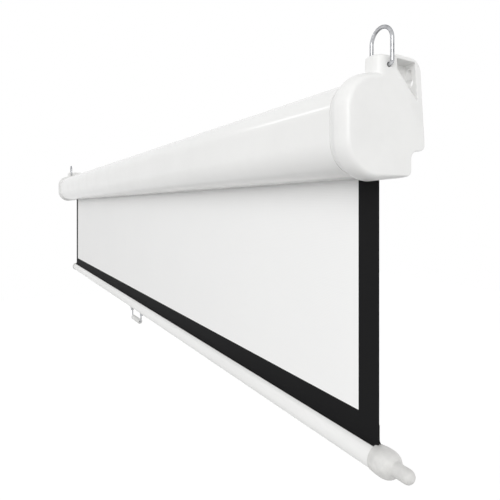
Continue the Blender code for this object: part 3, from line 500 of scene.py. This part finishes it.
def capShell():
    # the case's own outline, swelling in an S to the rim and rolling over to the flat end
    hair = layout["hair"]
    flare = [endCap["flareLength"] * i / 12 for i in range(13)]
    rimStart = endCap["length"] - endCap["rimLength"]
    flare += [rimStart + endCap["rimLength"] * math.sin(math.pi / 2 * i / 14) for i in range(1, 15)]
    outline = [(min(y, -hair), z) for y, z in caseOutline(heel=endCap["heelRadius"])[1:-1]]
    shape = bmesh.new()
    rings = []
    for depth in flare:
        ring = []
        for i, (y, z) in enumerate(outline):
            before, after = outline[i - 1], outline[(i + 1) % len(outline)]
            run, rise = after[0] - before[0], after[1] - before[1]
            share = ease((-y - endCap["flareFromWall"]) / (endCap["flareFullAt"] - endCap["flareFromWall"]))
            reach = capSwell(depth) * share / math.hypot(run, rise)
            x = layout["caseHalf"] + hair + depth * (endCap["length"] - hair) / endCap["length"]
            ring.append(shape.verts.new((x, y - rise * reach, z + run * reach)))
        rings.append(ring)
    for one, two in zip(rings, rings[1:]):
        for i in range(len(outline)):
            k = (i + 1) % len(outline)
            shape.faces.new((one[i], one[k], two[k], two[i]))
    shape.faces.new(rings[0])
    shape.faces.new(rings[-1])
    return meshFrom(shape)


def pinAlong(x0, x1, radius, y, z, steps=48):
    return lathe([(x0, 0), (x0, radius), (x1, radius), (x1, 0)], y, z, steps)


def capForms():
    # the four forms that the moulding joins, each with the rounding of its edges
    hair, seam = layout["hair"], layout["caseHalf"]
    face, top = seam + endCap["length"], endCap["flangeTop"]
    earFront, earBack = -endCap["earFront"], -endCap["earFront"] + endCap["earDepth"]
    earStart, earRoot = face - endCap["earWidth"], earBack + endCap["earRoot"]
    spigotEnd = seam + endCap["cavityDepth"]
    spigot = extruded(caseOutline(case["wall"] + hair)[1:-1], seam - endCap["spigotLength"], spigotEnd)
    corner = arc(face - endCap["earCorner"], earFront + endCap["earCorner"], endCap["earCorner"], -90, 0, 14)
    ear = [(earStart, earRoot), (earStart, earFront), *corner, (face, earRoot)]
    ear = extruded(ear, endCap["wellRadius"] + endCap["past"], endCap["earTop"], "z")
    corner = arc(-endCap["flangeCorner"], top - endCap["flangeCorner"], endCap["flangeCorner"], 90, 0, 14)
    flange = [(-hair, endCap["flangeFoot"]), (earBack - hair, endCap["flangeFoot"]), (earBack - hair, top)]
    flange = extruded(flange + corner, earStart - endCap["flangeSetIn"], face - endCap["flangeSetIn"])
    return [(capShell(), 0), (spigot, 0), (ear, endCap["earEdge"]), (flange, 0)]


def hullMesh(points):
    shape = bmesh.new()
    for point in points:
        shape.verts.new(point)
    bmesh.ops.convex_hull(shape, input=shape.verts)
    return meshFrom(shape)


def pocketShape(face, earBack, rimLow):
    # the recess behind the ear: its floor falls away from a slanting edge, then runs flat
    back, front, low = -endCap["flangeThick"], endCap["pocketFront"], endCap["pocketBack"]
    run, rise = back - earBack, low - front
    length = math.hypot(run, rise)
    ny, nz = -rise / length, run / length
    fullAt = endCap["pocketDeep"] / endCap["pocketSlope"]
    deepY = earBack + (fullAt - (rimLow - front) * nz) / ny
    deepZ = front + (fullAt - run * ny) / nz
    sideX = face - (rimLow - front) * nz * endCap["pocketSlope"]
    mouth = ((earBack, front), (earBack, rimLow), (back, rimLow), (back, low))
    floor = ((deepY, rimLow), (back, rimLow), (back, deepZ))
    points = [(face + endCap["past"], y, z) for y, z in mouth]
    points += [(face, earBack, front), (face, back, low), (sideX, earBack, rimLow)]
    points += [(face - endCap["pocketDeep"], y, z) for y, z in floor]
    return hullMesh(points)


def leanShape(face, earBack):
    # the wall side of the face falls back a little above a slanting line, so the flange leans inward
    foot = Vector((face, 0.0, endCap["leanFoot"]))
    start = Vector((face, earBack, endCap["pocketFront"]))
    tip = Vector((face - endCap["flangeLean"], 0.0, endCap["flangeTop"]))
    along, across = (start - foot).normalized(), tip - foot
    across = (across - along * across.dot(along)).normalized()
    normal = along.cross(across).normalized()
    normal *= 1 if normal.x > 0 else -1
    # a block on that sloping plane, larger than the cap, so that all beyond the plane goes
    block = {"along": (-0.02, 0.10), "across": (0, 0.09), "thick": 0.02}
    return hullMesh([
        foot + along * reach + across * side + normal * lift * block["thick"]
        for lift in (0, 1)
        for reach in block["along"]
        for side in block["across"]
    ])


def capCuts():
    hair, seam, past = layout["hair"], layout["caseHalf"], endCap["past"]
    face = seam + endCap["length"]
    earBack = -endCap["earFront"] + endCap["earDepth"]
    spigotStart = seam - endCap["spigotLength"] - past
    cavity = caseOutline(case["wall"] + hair + endCap["spigotWall"])[1:-1]
    cuts = [extruded(cavity, spigotStart, seam + endCap["cavityDepth"])]
    # the round well for the roller's end, with the boss and its socket standing in it
    wellStart, wellEnd = seam + endCap["wellStart"], face - endCap["endWall"]
    bossStart = seam + endCap["bossStart"]
    socket, socketEnd = endCap["socketRadius"] + hair, bossStart + endCap["socketLength"] + 2 * hair
    well = [(wellStart, 0), (wellStart, endCap["wellRadius"]), (wellEnd, endCap["wellRadius"])]
    well += [(wellEnd, endCap["bossRadius"]), (bossStart, endCap["bossRadius"])]
    well += [(bossStart, socket), (socketEnd, socket), (socketEnd, 0)]
    cuts.append(lathe(well, layout["rollerY"]))
    slotY = layout["clothY"] - case["slotFront"] - case["wall"] - hair
    slotHigh = (seam + hair / 2, -case["stepDepth"], -case["drop"] + 2 * case["lipHeight"])
    cuts.append(boxMesh((spigotStart, slotY, -case["drop"] - past), slotHigh))
    for z in case["screwHeights"]:
        hole = pinAlong(-case["screwDeep"], 0.0, case["screwHole"], 0, 0, 24)
        cuts.append(alongY(hole, seam - case["screwFromEnd"], z))
    cuts.append(pocketShape(face, earBack, endCap["flangeTop"] - endCap["flangeRim"]))
    x, z = face - endCap["keyholeFromFace"], endCap["keyholeLow"]
    wide, slot = endCap["keyholeRadius"], endCap["keyholeSlot"]
    mouth = math.degrees(math.asin(slot / wide))
    keyhole = arc(x, z, wide, 90 + mouth, 450 - mouth, 36)
    keyhole += arc(x, z + endCap["keyholeRise"], slot, 0, 180, 14)
    cuts.append(extruded(keyhole, -endCap["flangeThick"] - past, past, "y"))
    cuts.append(leanShape(face, earBack))
    earStart, y, z = face - endCap["earWidth"] - past, -hangerLook["front"], hangerLook["up"]
    cuts.append(pinAlong(earStart, face + past, endCap["hangerHole"], y, z))
    return cuts


def makeCapMesh():
    # each form is cut by itself and they are laid together; the remesh that follows joins them
    shape = bmesh.new()
    for form, width in capForms():
        shape.from_mesh(carved(form, capCuts(), "capWork", width))
    mesh = bpy.data.meshes.new("endCap")
    shape.to_mesh(mesh)
    shape.free()
    return mesh


# the bent wire hangers on the ears
hangerLook = {
    "wire": 0.0018, "height": 0.036, "span": 0.027, "foot": 0.0075, "bend": 0.0035,
    "up": 0.0545, "front": 0.044,
}


def makeHanger(name, side):
    foot, bend, half = hangerLook["foot"], hangerLook["bend"], hangerLook["span"] / 2
    x, y, z = layout["capFace"] - endCap["earWidth"] / 2, -hangerLook["front"], hangerLook["up"]
    top = z + hangerLook["height"] - half
    path = roundedPath([(x - half + foot, y, z), (x - half, y, z), (x - half, y, top)], bend, 8)
    path += [(x + u, y, v) for u, v in arc(0, top, half, 180, 0, 36)[1:-1]]
    path += roundedPath([(x + half, y, top), (x + half, y, z), (x + half - foot, y, z)], bend, 8)
    mesh = mirrored(wireMesh(path, hangerLook["wire"], 20), side)
    addPiece(name, mesh, coats["chromeWire"], name, [name])


def makeEndCap(word, side):
    # a fine remesh and a little smoothing give every edge the small radius of a moulding
    name, node, plastic = "endCap_" + word, "end_cap_" + word, coats["capPlastic"]
    cap = addPiece(name, mirrored(capMesh.copy(), side), plastic, "housing", [node], 40)
    soft = cap.modifiers.new("soft", "REMESH")
    soft.mode = "VOXEL"
    soft.voxel_size = endCap["softening"]
    relax = cap.modifiers.new("relax", "SMOOTH")
    relax.factor = 0.5
    relax.iterations = endCap["smoothing"]
    fewer = cap.modifiers.new("fewer", "DECIMATE")
    fewer.ratio = endCap["keepFaces"]
    bpy.context.view_layer.update()
    made = bpy.data.meshes.new_from_object(cap.evaluated_get(bpy.context.evaluated_depsgraph_get()))
    cap.modifiers.clear()
    cap.data = made
    made.materials.clear()
    made.materials.append(plastic)
    made.shade_smooth()
    print(name, "has", len(made.polygons), "faces")


print("moulding the end caps and bending the hangers")
capMesh = makeCapMesh()
ends = (("left", -1), ("right", 1))
for word, side in ends:
    makeEndCap(word, side)
for word, side in ends:
    makeHanger("hanger_" + word, side)


# the weight bar, its end sleeves and the rod sewn into the cloth's hem
bar = {
    "radius": 0.0125, "wall": 0.0016, "slot": 0.0096, "half": 0.8865, "z": layout["barZ"],
    "lipZ": -0.305714, "rivetHole": 0.0018, "holeBelow": 0.0025, "holeAbove": 0.003, "edge": 0.0004,
    "rod": 0.00595, "rodShort": 0.003, "rodEdge": 0.0004, "rodZ": -0.310531,
}
barCap = {
    "lap": 0.002, "flare": 0.007, "radius": 0.0139, "length": 0.022, "lip": 0.0005, "lipEdge": 0.0002,
    "fillet": 0.0022, "filletReach": 0.0015, "filletShare": 0.9, "pinRadius": 0.007, "pinLength": 0.022,
    "slit": 0.00145, "slitPast": 0.002, "slitEnd": 0.0006, "slitTop": 0.017,
}
handleLook = {
    "offset": 0.016, "width": 0.080, "drop": 0.0195, "leg": 0.013, "wire": 0.0015, "bend": 0.003,
    "grip": 0.060, "gripRadius": 0.0058, "gripEdge": 0.0014,
    "waves": 9, "waveDeep": 0.00022, "waved": 0.86, "perWave": 10,
    "eye": 0.005, "tab": 0.009, "pivotZ": -0.3320,
}
rivetReach = handleLook["width"] / 2 + handleLook["eye"] + handleLook["tab"] / 2


def barRing():
    bore = bar["radius"] - bar["wall"]
    outer = math.degrees(math.asin(bar["slot"] / 2 / bar["radius"]))
    inner = math.degrees(math.asin(bar["slot"] / 2 / bore))
    ring = arc(layout["clothY"], bar["z"], bar["radius"], 90 - outer, outer - 270, 96)
    return ring + arc(layout["clothY"], bar["z"], bore, inner - 270, 90 - inner, 80)


def uprightPin(x, low, high, radius):
    pin = lathe([(low, 0), (low, radius), (high, radius), (high, 0)], steps=32)
    upright = Matrix(((0, 1, 0, 0), (0, 0, 1, 0), (1, 0, 0, 0), (0, 0, 0, 1)))
    pin.transform(Matrix.Translation((x, layout["clothY"], 0)) @ upright)
    return pin


def makeBar():
    under = bar["z"] - bar["radius"]
    rivets = [handleLook["offset"] + side * rivetReach for side in (-1, 1)]
    low, high = under - bar["holeBelow"], under + bar["holeAbove"]
    holes = [uprightPin(x, low, high, bar["rivetHole"]) for x in rivets]
    mesh = carved(extruded(barRing(), -bar["half"], bar["half"]), holes, "barWork")
    piece = addPiece("weightBar", mesh, coats["barEnamel"], "drop", ["weight_bar"], 30)
    softenEdges(piece, bar["edge"])


def barCapProfile():
    # round pin tip, hollow fillet, bulging shoulder, then the sleeve that grips the bar
    half, pin, bulge, fillet = layout["halfCloth"], barCap["pinRadius"], barCap["radius"], barCap["fillet"]
    end = half + barCap["length"]
    middle, shoulder = end - barCap["length"] / 2, bulge - pin
    profile = arc(end + barCap["pinLength"] - pin, 0, pin, 0, 90, 16)
    profile += arc(end + fillet, pin + fillet, fillet, 270, 200, 7)
    stretch = barCap["length"] / 2 / shoulder
    turn = [(middle + u * stretch, bulge - shoulder + v) for u, v in arc(0, 0, shoulder, 0, 90, 22)]
    clearOf, before = pin + fillet * barCap["filletShare"], end - barCap["filletReach"]
    profile += [(x, r) for x, r in turn if r > clearOf or x < before]
    sleeve, bore = half - barCap["lap"], bar["radius"] + layout["hair"]
    top, flare, steps = bore + barCap["lip"], half + barCap["flare"], 14
    for i in range(steps + 1):
        profile.append((flare - (flare - sleeve) * i / steps, top + (bulge - top) * ease(1 - i / steps)))
    profile += [(sleeve - barCap["lipEdge"], top - barCap["lipEdge"]), (sleeve, bore)]
    return profile + [(bar["half"] + layout["hair"], bore), (bar["half"] + layout["hair"], 0)]


def makeBarCap(word, side):
    # the sleeve is slit for the cloth
    sleeve, y = layout["halfCloth"] - barCap["lap"], layout["clothY"]
    low = (sleeve - barCap["slitPast"], y - barCap["slit"], bar["lipZ"])
    high = (layout["halfCloth"] + barCap["slitEnd"], y + barCap["slit"], bar["z"] + barCap["slitTop"])
    mesh = carved(lathe(barCapProfile(), y, bar["z"], 96), [boxMesh(low, high)], "sleeveWork")
    name, node, plastic = "barCap_" + word, "bar_cap_" + word, coats["barCapPlastic"]
    addPiece(name, mirrored(mesh, side), plastic, "drop", [node], 50)


def makeHemRod():
    half, radius = layout["halfCloth"] - bar["rodShort"], bar["rod"]
    end = radius - bar["rodEdge"]
    profile = ((-1, 0), (-1, end), (-0.9996, radius), (0.9996, radius), (1, end), (1, 0))
    mesh = lathe([(x * half, r) for x, r in profile], layout["clothY"], bar["rodZ"], 48)
    addPiece("hemRod", mesh, coats["zincSteel"], "drop", ["hem_rod"])


print("turning the bar and its sleeves")
makeBar()
for word, side in ends:
    makeBarCap(word, side)
makeHemRod()


def makeHandleWire():
    look, y = handleLook, layout["clothY"]
    foot = look["width"] / 2 + look["eye"] + look["wire"]
    leg = look["width"] / 2 - layout["hair"] - look["wire"]
    low = look["grip"] / 2 + look["bend"]
    half = [(-foot, 0), (-leg, 0), (-leg, -look["leg"]), (-low, -look["drop"])]
    corners = half + [(-u, v) for u, v in reversed(half)]
    path = roundedPath([(look["offset"] + u, y, look["pivotZ"] + v) for u, v in corners], look["bend"], 8)
    mesh = wireMesh(path, look["wire"], 20)
    addPiece("handleWire", mesh, coats["chromeWire"], "pull_handle", ["handle_wire"])


def makeHandleGrip():
    # a sleeve on the wire, waved for the fingers
    look = handleLook
    end, radius, bore = look["grip"] / 2, look["gripRadius"], look["wire"] + layout["hair"]
    turn = arc(end - look["gripEdge"], radius - look["gripEdge"], look["gripEdge"], 0, 90, 8)
    count, reach = look["waves"] * look["perWave"], end * look["waved"]
    profile = [(end, bore), *turn]
    for i in range(count + 1):
        wave = look["waveDeep"] * (1 - math.cos(2 * math.pi * i / look["perWave"]))
        profile.append((reach - 2 * reach * i / count, radius - wave))
    profile += [*[(-x, r) for x, r in turn[::-1]], (-end, bore)]
    profile = [(look["offset"] + x, r) for x, r in profile]
    mesh = lathe(profile, layout["clothY"], look["pivotZ"] - look["drop"], 48, closed=True)
    addPiece("handleGrip", mesh, coats["gripPlastic"], "pull_handle", ["handle_grip"])


print("bending the pull handle")
makeHandleWire()
makeHandleGrip()


# the screen cloth: white in front inside a black border, black behind
cloth = {
    "thickness": 0.0005, "whiteLow": -0.279, "hemTop": -0.2835, "wrapRadius": 0.00625, "plyGap": 0.00055,
    # below the picture the cloth leaves its plane, meets the hem rod at an angle and comes up behind
    "plain": (-0.2925, -0.2965), "fall": ((-0.0008, -0.3002), (-0.0031, -0.3041)), "meeting": 57,
    "rise": ((0.0034, -0.3041), (0.0013, -0.3002)),
    "woundThickness": 0.0004, "woundPitch": 0.00042, "woundOuter": 0.02587, "woundInner": 0.02302,
    "stepsPerTurn": 60, "blackLead": 0.12,
}


def smoothLine(points, steps):
    # a smooth curve that runs through all of the points
    points = [Vector((*p, 0)) for p in points]
    ends = [2 * points[0] - points[1], *points, 2 * points[-1] - points[-2]]
    line = []
    for a, b, c, d in zip(ends, ends[1:], ends[2:], ends[3:]):
        for i in range(steps):
            t = i / steps
            p = 2 * b + (c - a) * t + (2 * a - 5 * b + 4 * c - d) * t * t
            p += (3 * b - a - 3 * c + d) * t ** 3
            line.append((p.x / 2, p.y / 2))
    return line + [(points[-1].x, points[-1].y)]


def clothStrip(line, thickness, columns, isWhite, name):
    # the line of (y, z) given a thickness and drawn out along x
    # isWhite(x, share of the line, z) says which faces of the front are white
    shape = bmesh.new()
    rows, backs = [], []
    for side, shift in ((rows, -thickness / 2), (backs, thickness / 2)):
        side += [[shape.verts.new((x, *p)) for x in columns] for p in offsetLine(line, shift)]
    steps, wide = len(line) - 1, len(columns) - 1

    def addFace(corners, white=False):
        shape.faces.new(corners).material_index = 0 if white else 1

    for i in range(steps):
        for k in range(wide):
            white = isWhite((columns[k] + columns[k + 1]) / 2, i / steps, (line[i][1] + line[i + 1][1]) / 2)
            addFace((rows[i][k], rows[i][k + 1], rows[i + 1][k + 1], rows[i + 1][k]), white)
            addFace((backs[i][k], backs[i + 1][k], backs[i + 1][k + 1], backs[i][k + 1]))
    for k in range(wide):
        for i in (0, -1):
            addFace((rows[i][k], backs[i][k], backs[i][k + 1], rows[i][k + 1]))
    for i in range(steps):
        for k in (0, -1):
            addFace((rows[i][k], rows[i + 1][k], backs[i + 1][k], backs[i][k]))
    bmesh.ops.recalc_face_normals(shape, faces=shape.faces)
    mesh = bpy.data.meshes.new(name)
    shape.to_mesh(mesh)
    shape.free()
    mesh.materials.append(cloths["screenWhite"])
    mesh.materials.append(cloths["screenBlack"])
    return newObject(name, mesh, 60)


def lineLength(line):
    return sum(math.dist(a, b) for a, b in zip(line, line[1:]))


half, edge = layout["halfCloth"], layout["halfCloth"] - layout["border"]
columns = [-half, -edge, -edge / 2, 0.0, edge / 2, edge, half]


def makeHangingCloth():
    y, r, rodZ, turn = layout["clothY"], cloth["wrapRadius"], bar["rodZ"], cloth["meeting"]
    side, meetZ = r * math.sin(math.radians(turn)), rodZ + r * math.cos(math.radians(turn))
    fall = [(y, z) for z in cloth["plain"]] + [(y + u, z) for u, z in cloth["fall"]]
    rise = [(y + u, z) for u, z in cloth["rise"]]
    rise += [(y + cloth["plyGap"], z) for z in (cloth["plain"][1], cloth["hemTop"])]
    line = [(y, 0.0), (y, cloth["whiteLow"])]
    line += smoothLine([*fall, (y - side, meetZ)], 4)
    line += arc(y, rodZ, r, 90 + turn, 450 - turn, 40)[1:-1]
    line += smoothLine([(y + side, meetZ), *rise], 4)

    def isWhite(x, share, z):
        return abs(x) < edge and z > cloth["whiteLow"] and share < 0.5

    return clothStrip(line, cloth["thickness"], columns, isWhite, "screenCloth"), line


def makeWoundCloth():
    turns = (cloth["woundOuter"] - cloth["woundInner"]) / cloth["woundPitch"]
    count = int(turns * cloth["stepsPerTurn"])
    line = []
    for i in range(count + 1):
        angle = 2 * math.pi * turns * i / count
        radius = cloth["woundOuter"] - cloth["woundPitch"] * turns * i / count
        line.append((layout["rollerY"] + radius * math.cos(angle), radius * math.sin(angle)))
    line.reverse()

    def isWhite(x, share, z):
        return abs(x) < edge and share > cloth["blackLead"]

    return clothStrip(line, cloth["woundThickness"], columns, isWhite, "woundCloth"), line


print("hanging the cloth")
screenCloth, clothLine = makeHangingCloth()
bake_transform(screenCloth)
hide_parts("fabric_backing", "viewing_surface")
woundCloth, woundLine = makeWoundCloth()
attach(woundCloth, "roller")
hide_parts("fabric_roll")
print("cloth: hanging", round(lineLength(clothLine), 4), "m, wound", round(lineLength(woundLine), 4), "m")


# the spring inside the roller
springLook = {"radius": 0.0095, "wire": 0.0024, "pitch": 0.0062, "turns": 17, "start": 0.8642, "perTurn": 36}


def makeSpring():
    look = springLook
    length = look["turns"] * look["pitch"] + 2 * look["wire"]
    start, end = look["start"], look["start"] - length
    coilStart, coilEnd = start - look["wire"], end + look["wire"]
    count = look["turns"] * look["perTurn"]
    path = []
    for i in range(count + 1):
        angle = 2 * math.pi * i / look["perTurn"]
        x = coilStart + (coilEnd - coilStart) * i / count
        y, z = look["radius"] * math.cos(angle), look["radius"] * math.sin(angle)
        path.append((x, layout["rollerY"] + y, z))
    path = [(start, *path[0][1:]), *path, (end, *path[-1][1:])]
    mesh = mirrored(wireMesh(path, look["wire"] / 2, 12), -1)
    addPiece("torsionSpring", mesh, coats["springSteel"], "housing", ["torsion_spring"])


print("winding the spring")
makeSpring()


# screws, with a cross recess in each head
screwLook = {
    "shank": ((-0.007, 0), (-0.0066, 0.0012), (-0.0060, 0.0016), (-0.0012, 0.0016)),
    "headRadius": 0.0031, "headTop": 0.0030, "headEdge": 0.00015,
    "crossReach": 0.0018, "crossHalf": 0.0004, "crossDeep": 0.0017, "past": 0.001,
}


def makeScrew(word, level, side, z):
    look, seat = screwLook, -layout["hair"]
    head = [(seat - look["headEdge"], look["headRadius"]), (seat, look["headTop"]), (seat, 0)]
    body = alongY(lathe([*look["shank"], *head], steps=40))
    arms = ((look["crossReach"], look["crossHalf"]), (look["crossHalf"], look["crossReach"]))
    cross = [boxMesh((-u, -look["crossDeep"], -v), (u, look["past"], v)) for u, v in arms]
    mesh = carved(body, cross, "screwWork")
    mesh.transform(Matrix.Translation((side * (layout["caseHalf"] - case["screwFromEnd"]), 0, z)))
    name, node = f"capScrew_{word}_{level}", f"cap_screw_{word}_{level}"
    addPiece(name, mesh, coats["zincSteel"], "housing", [node])


print("driving the screws")
for word, side in ends:
    for level, z in zip(("upper", "lower"), case["screwHeights"]):
        makeScrew(word, level, side, z)


# pieces whose solids are right as they are, and only need their finish
kept = {
    "zincSteel": [
        "roller_tube", "idler_pin", "pawl_pin_1", "pawl_pin_2", "pawl_1", "pawl_2", "ratchet_hub",
        "spring_shaft", "shaft_socket", "handle_eye_left", "handle_eye_right",
        "handle_rivet_left", "handle_rivet_right",
    ],
    "springSteel": ["idler_clip", "pawl_clip_1", "pawl_clip_2", "hub_pin", "collar_pin"],
    "nylon": ["roller_plug_left", "roller_plug_right", "spring_collar", "bearing_bush"],
}
# the handle's eyes and rivets can be seen from near by, so they get soft edges
keptEdge = {"width": 0.00025, "segments": 2, "angle": 40}
print("finishing the other pieces")
for finishName, nodes in kept.items():
    for node in nodes:
        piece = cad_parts[node]
        for slotHolder in piece.material_slots:
            slotHolder.material = coats[finishName]
        if node.startswith("handle_"):
            softenEdges(piece, **keptEdge)


# studio: a pale floor, soft light and the camera
studio = {
    "floorZ": -1.46, "floorSize": 14.0, "floorThick": 0.02, "floorGlow": 0.62,
    "floorLow": (0.50, 0.50, 0.50, 1), "floorHigh": (0.53, 0.53, 0.526, 1), "floorRough": 0.85,
    "sky": 0.66, "skyFrom": 0.75, "horizon": 1.90, "bright": 0.04, "ground": 0.45, "groundFrom": -0.7,
    "keyPower": 12.0, "keySize": (0.9, 0.9), "keyPlace": (2.15, -1.35, 0.55), "keyAim": (0.75, -0.1, -0.02),
    "stripPower": 4.4, "stripSize": (1.64, 0.09), "stripPlace": (-2.78, -1.99, 1.66), "stripTurn": 50,
    "cameraPlace": (1.2585, -0.3649, -0.072), "cameraTurn": 27.833, "lens": 36.547, "shiftY": -0.0874,
}


def makeSky():
    # looked at, the sky is plain white; as light it is brightest near the horizon
    world = bpy.context.scene.world or bpy.data.worlds.new("studio")
    bpy.context.scene.world = world
    world.use_nodes = True
    nodes, links = world.node_tree.nodes, world.node_tree.links
    nodes.clear()

    def merged(operation, one, two):
        node = nodes.new("ShaderNodeMath")
        node.operation = operation
        links.new(one, node.inputs[0])
        links.new(two, node.inputs[1])
        return node.outputs[0]

    out = nodes.new("ShaderNodeOutputWorld")
    seen, glow = nodes.new("ShaderNodeBackground"), nodes.new("ShaderNodeBackground")
    seen.inputs["Color"].default_value = (1, 1, 1, 1)
    seen.inputs["Strength"].default_value = 1.0
    split = nodes.new("ShaderNodeSeparateXYZ")
    links.new(nodes.new("ShaderNodeTexCoord").outputs["Generated"], split.inputs[0])
    levels = []
    for far, value in ((studio["groundFrom"], studio["ground"]), (studio["skyFrom"], studio["sky"])):
        level = nodes.new("ShaderNodeMapRange")
        level.inputs["From Min"].default_value = studio["bright"]
        level.inputs["From Max"].default_value = far
        level.inputs["To Min"].default_value = studio["horizon"]
        level.inputs["To Max"].default_value = value
        links.new(split.outputs["Z"], level.inputs["Value"])
        levels.append(level.outputs[0])
    links.new(merged("MINIMUM", *levels), glow.inputs["Strength"])
    ray = nodes.new("ShaderNodeLightPath")
    clear = merged("MAXIMUM", ray.outputs["Is Camera Ray"], ray.outputs["Is Transmission Ray"])
    mix = nodes.new("ShaderNodeMixShader")
    links.new(merged("MAXIMUM", clear, ray.outputs["Is Glossy Ray"]), mix.inputs[0])
    links.new(glow.outputs[0], mix.inputs[1])
    links.new(seen.outputs[0], mix.inputs[2])
    links.new(mix.outputs[0], out.inputs[0])


def makeFloor():
    # the floor glows only where it is looked at, straight or in a shine, and so melts into the white
    size, top = studio["floorSize"] / 2, studio["floorZ"]
    mesh = boxMesh((-size, -size, top - studio["floorThick"]), (size, size, top))
    tree = Tree("paleFloor")
    shade = tree.ramp(tree.noise(1.2, 3.0), 0, 1)
    tree.feed("Base Color", tree.mixed(shade, studio["floorLow"], studio["floorHigh"]))
    tree.shader.inputs["Roughness"].default_value = studio["floorRough"]
    tree.shader.inputs["Emission Color"].default_value = (1, 1, 1, 1)
    ray = tree.add("LightPath")
    looked = tree.combine("MAXIMUM", ray.outputs["Is Camera Ray"], ray.outputs["Is Glossy Ray"])
    looked = tree.combine("MAXIMUM", looked, ray.outputs["Is Transmission Ray"])
    tree.feed("Emission Strength", tree.combine("MULTIPLY", looked, studio["floorGlow"]))
    mesh.materials.append(tree.material)
    newObject("floor", mesh)


def makeLamp(name, power, size, spot, turn):
    light = bpy.data.lights.new(name, "AREA")
    light.shape = "RECTANGLE"
    light.size, light.size_y = size
    light.energy = power
    lamp = bpy.data.objects.new(name, light)
    lamp.location = spot
    lamp.rotation_euler = turn
    bpy.context.scene.collection.objects.link(lamp)


def makeCamera():
    view = bpy.data.cameras.new("camera")
    view.lens = studio["lens"]
    view.sensor_width = 36.0
    view.shift_y = studio["shiftY"]
    view.clip_start = 0.01
    camera = bpy.data.objects.new("camera", view)
    camera.location = studio["cameraPlace"]
    camera.rotation_euler = (math.radians(90), 0, math.radians(90 - studio["cameraTurn"]))
    bpy.context.scene.collection.objects.link(camera)
    bpy.context.scene.camera = camera
    bpy.context.scene.view_settings.view_transform = "Standard"


print("lighting the studio")
makeSky()
makeFloor()
toCap = (Vector(studio["keyAim"]) - Vector(studio["keyPlace"])).to_track_quat("-Z", "Y").to_euler()
alongCase = (math.radians(studio["stripTurn"]), 0, 0)
makeLamp("keyLight", studio["keyPower"], studio["keySize"], studio["keyPlace"], toCap)
makeLamp("stripLight", studio["stripPower"], studio["stripSize"], studio["stripPlace"], alongCase)
makeCamera()
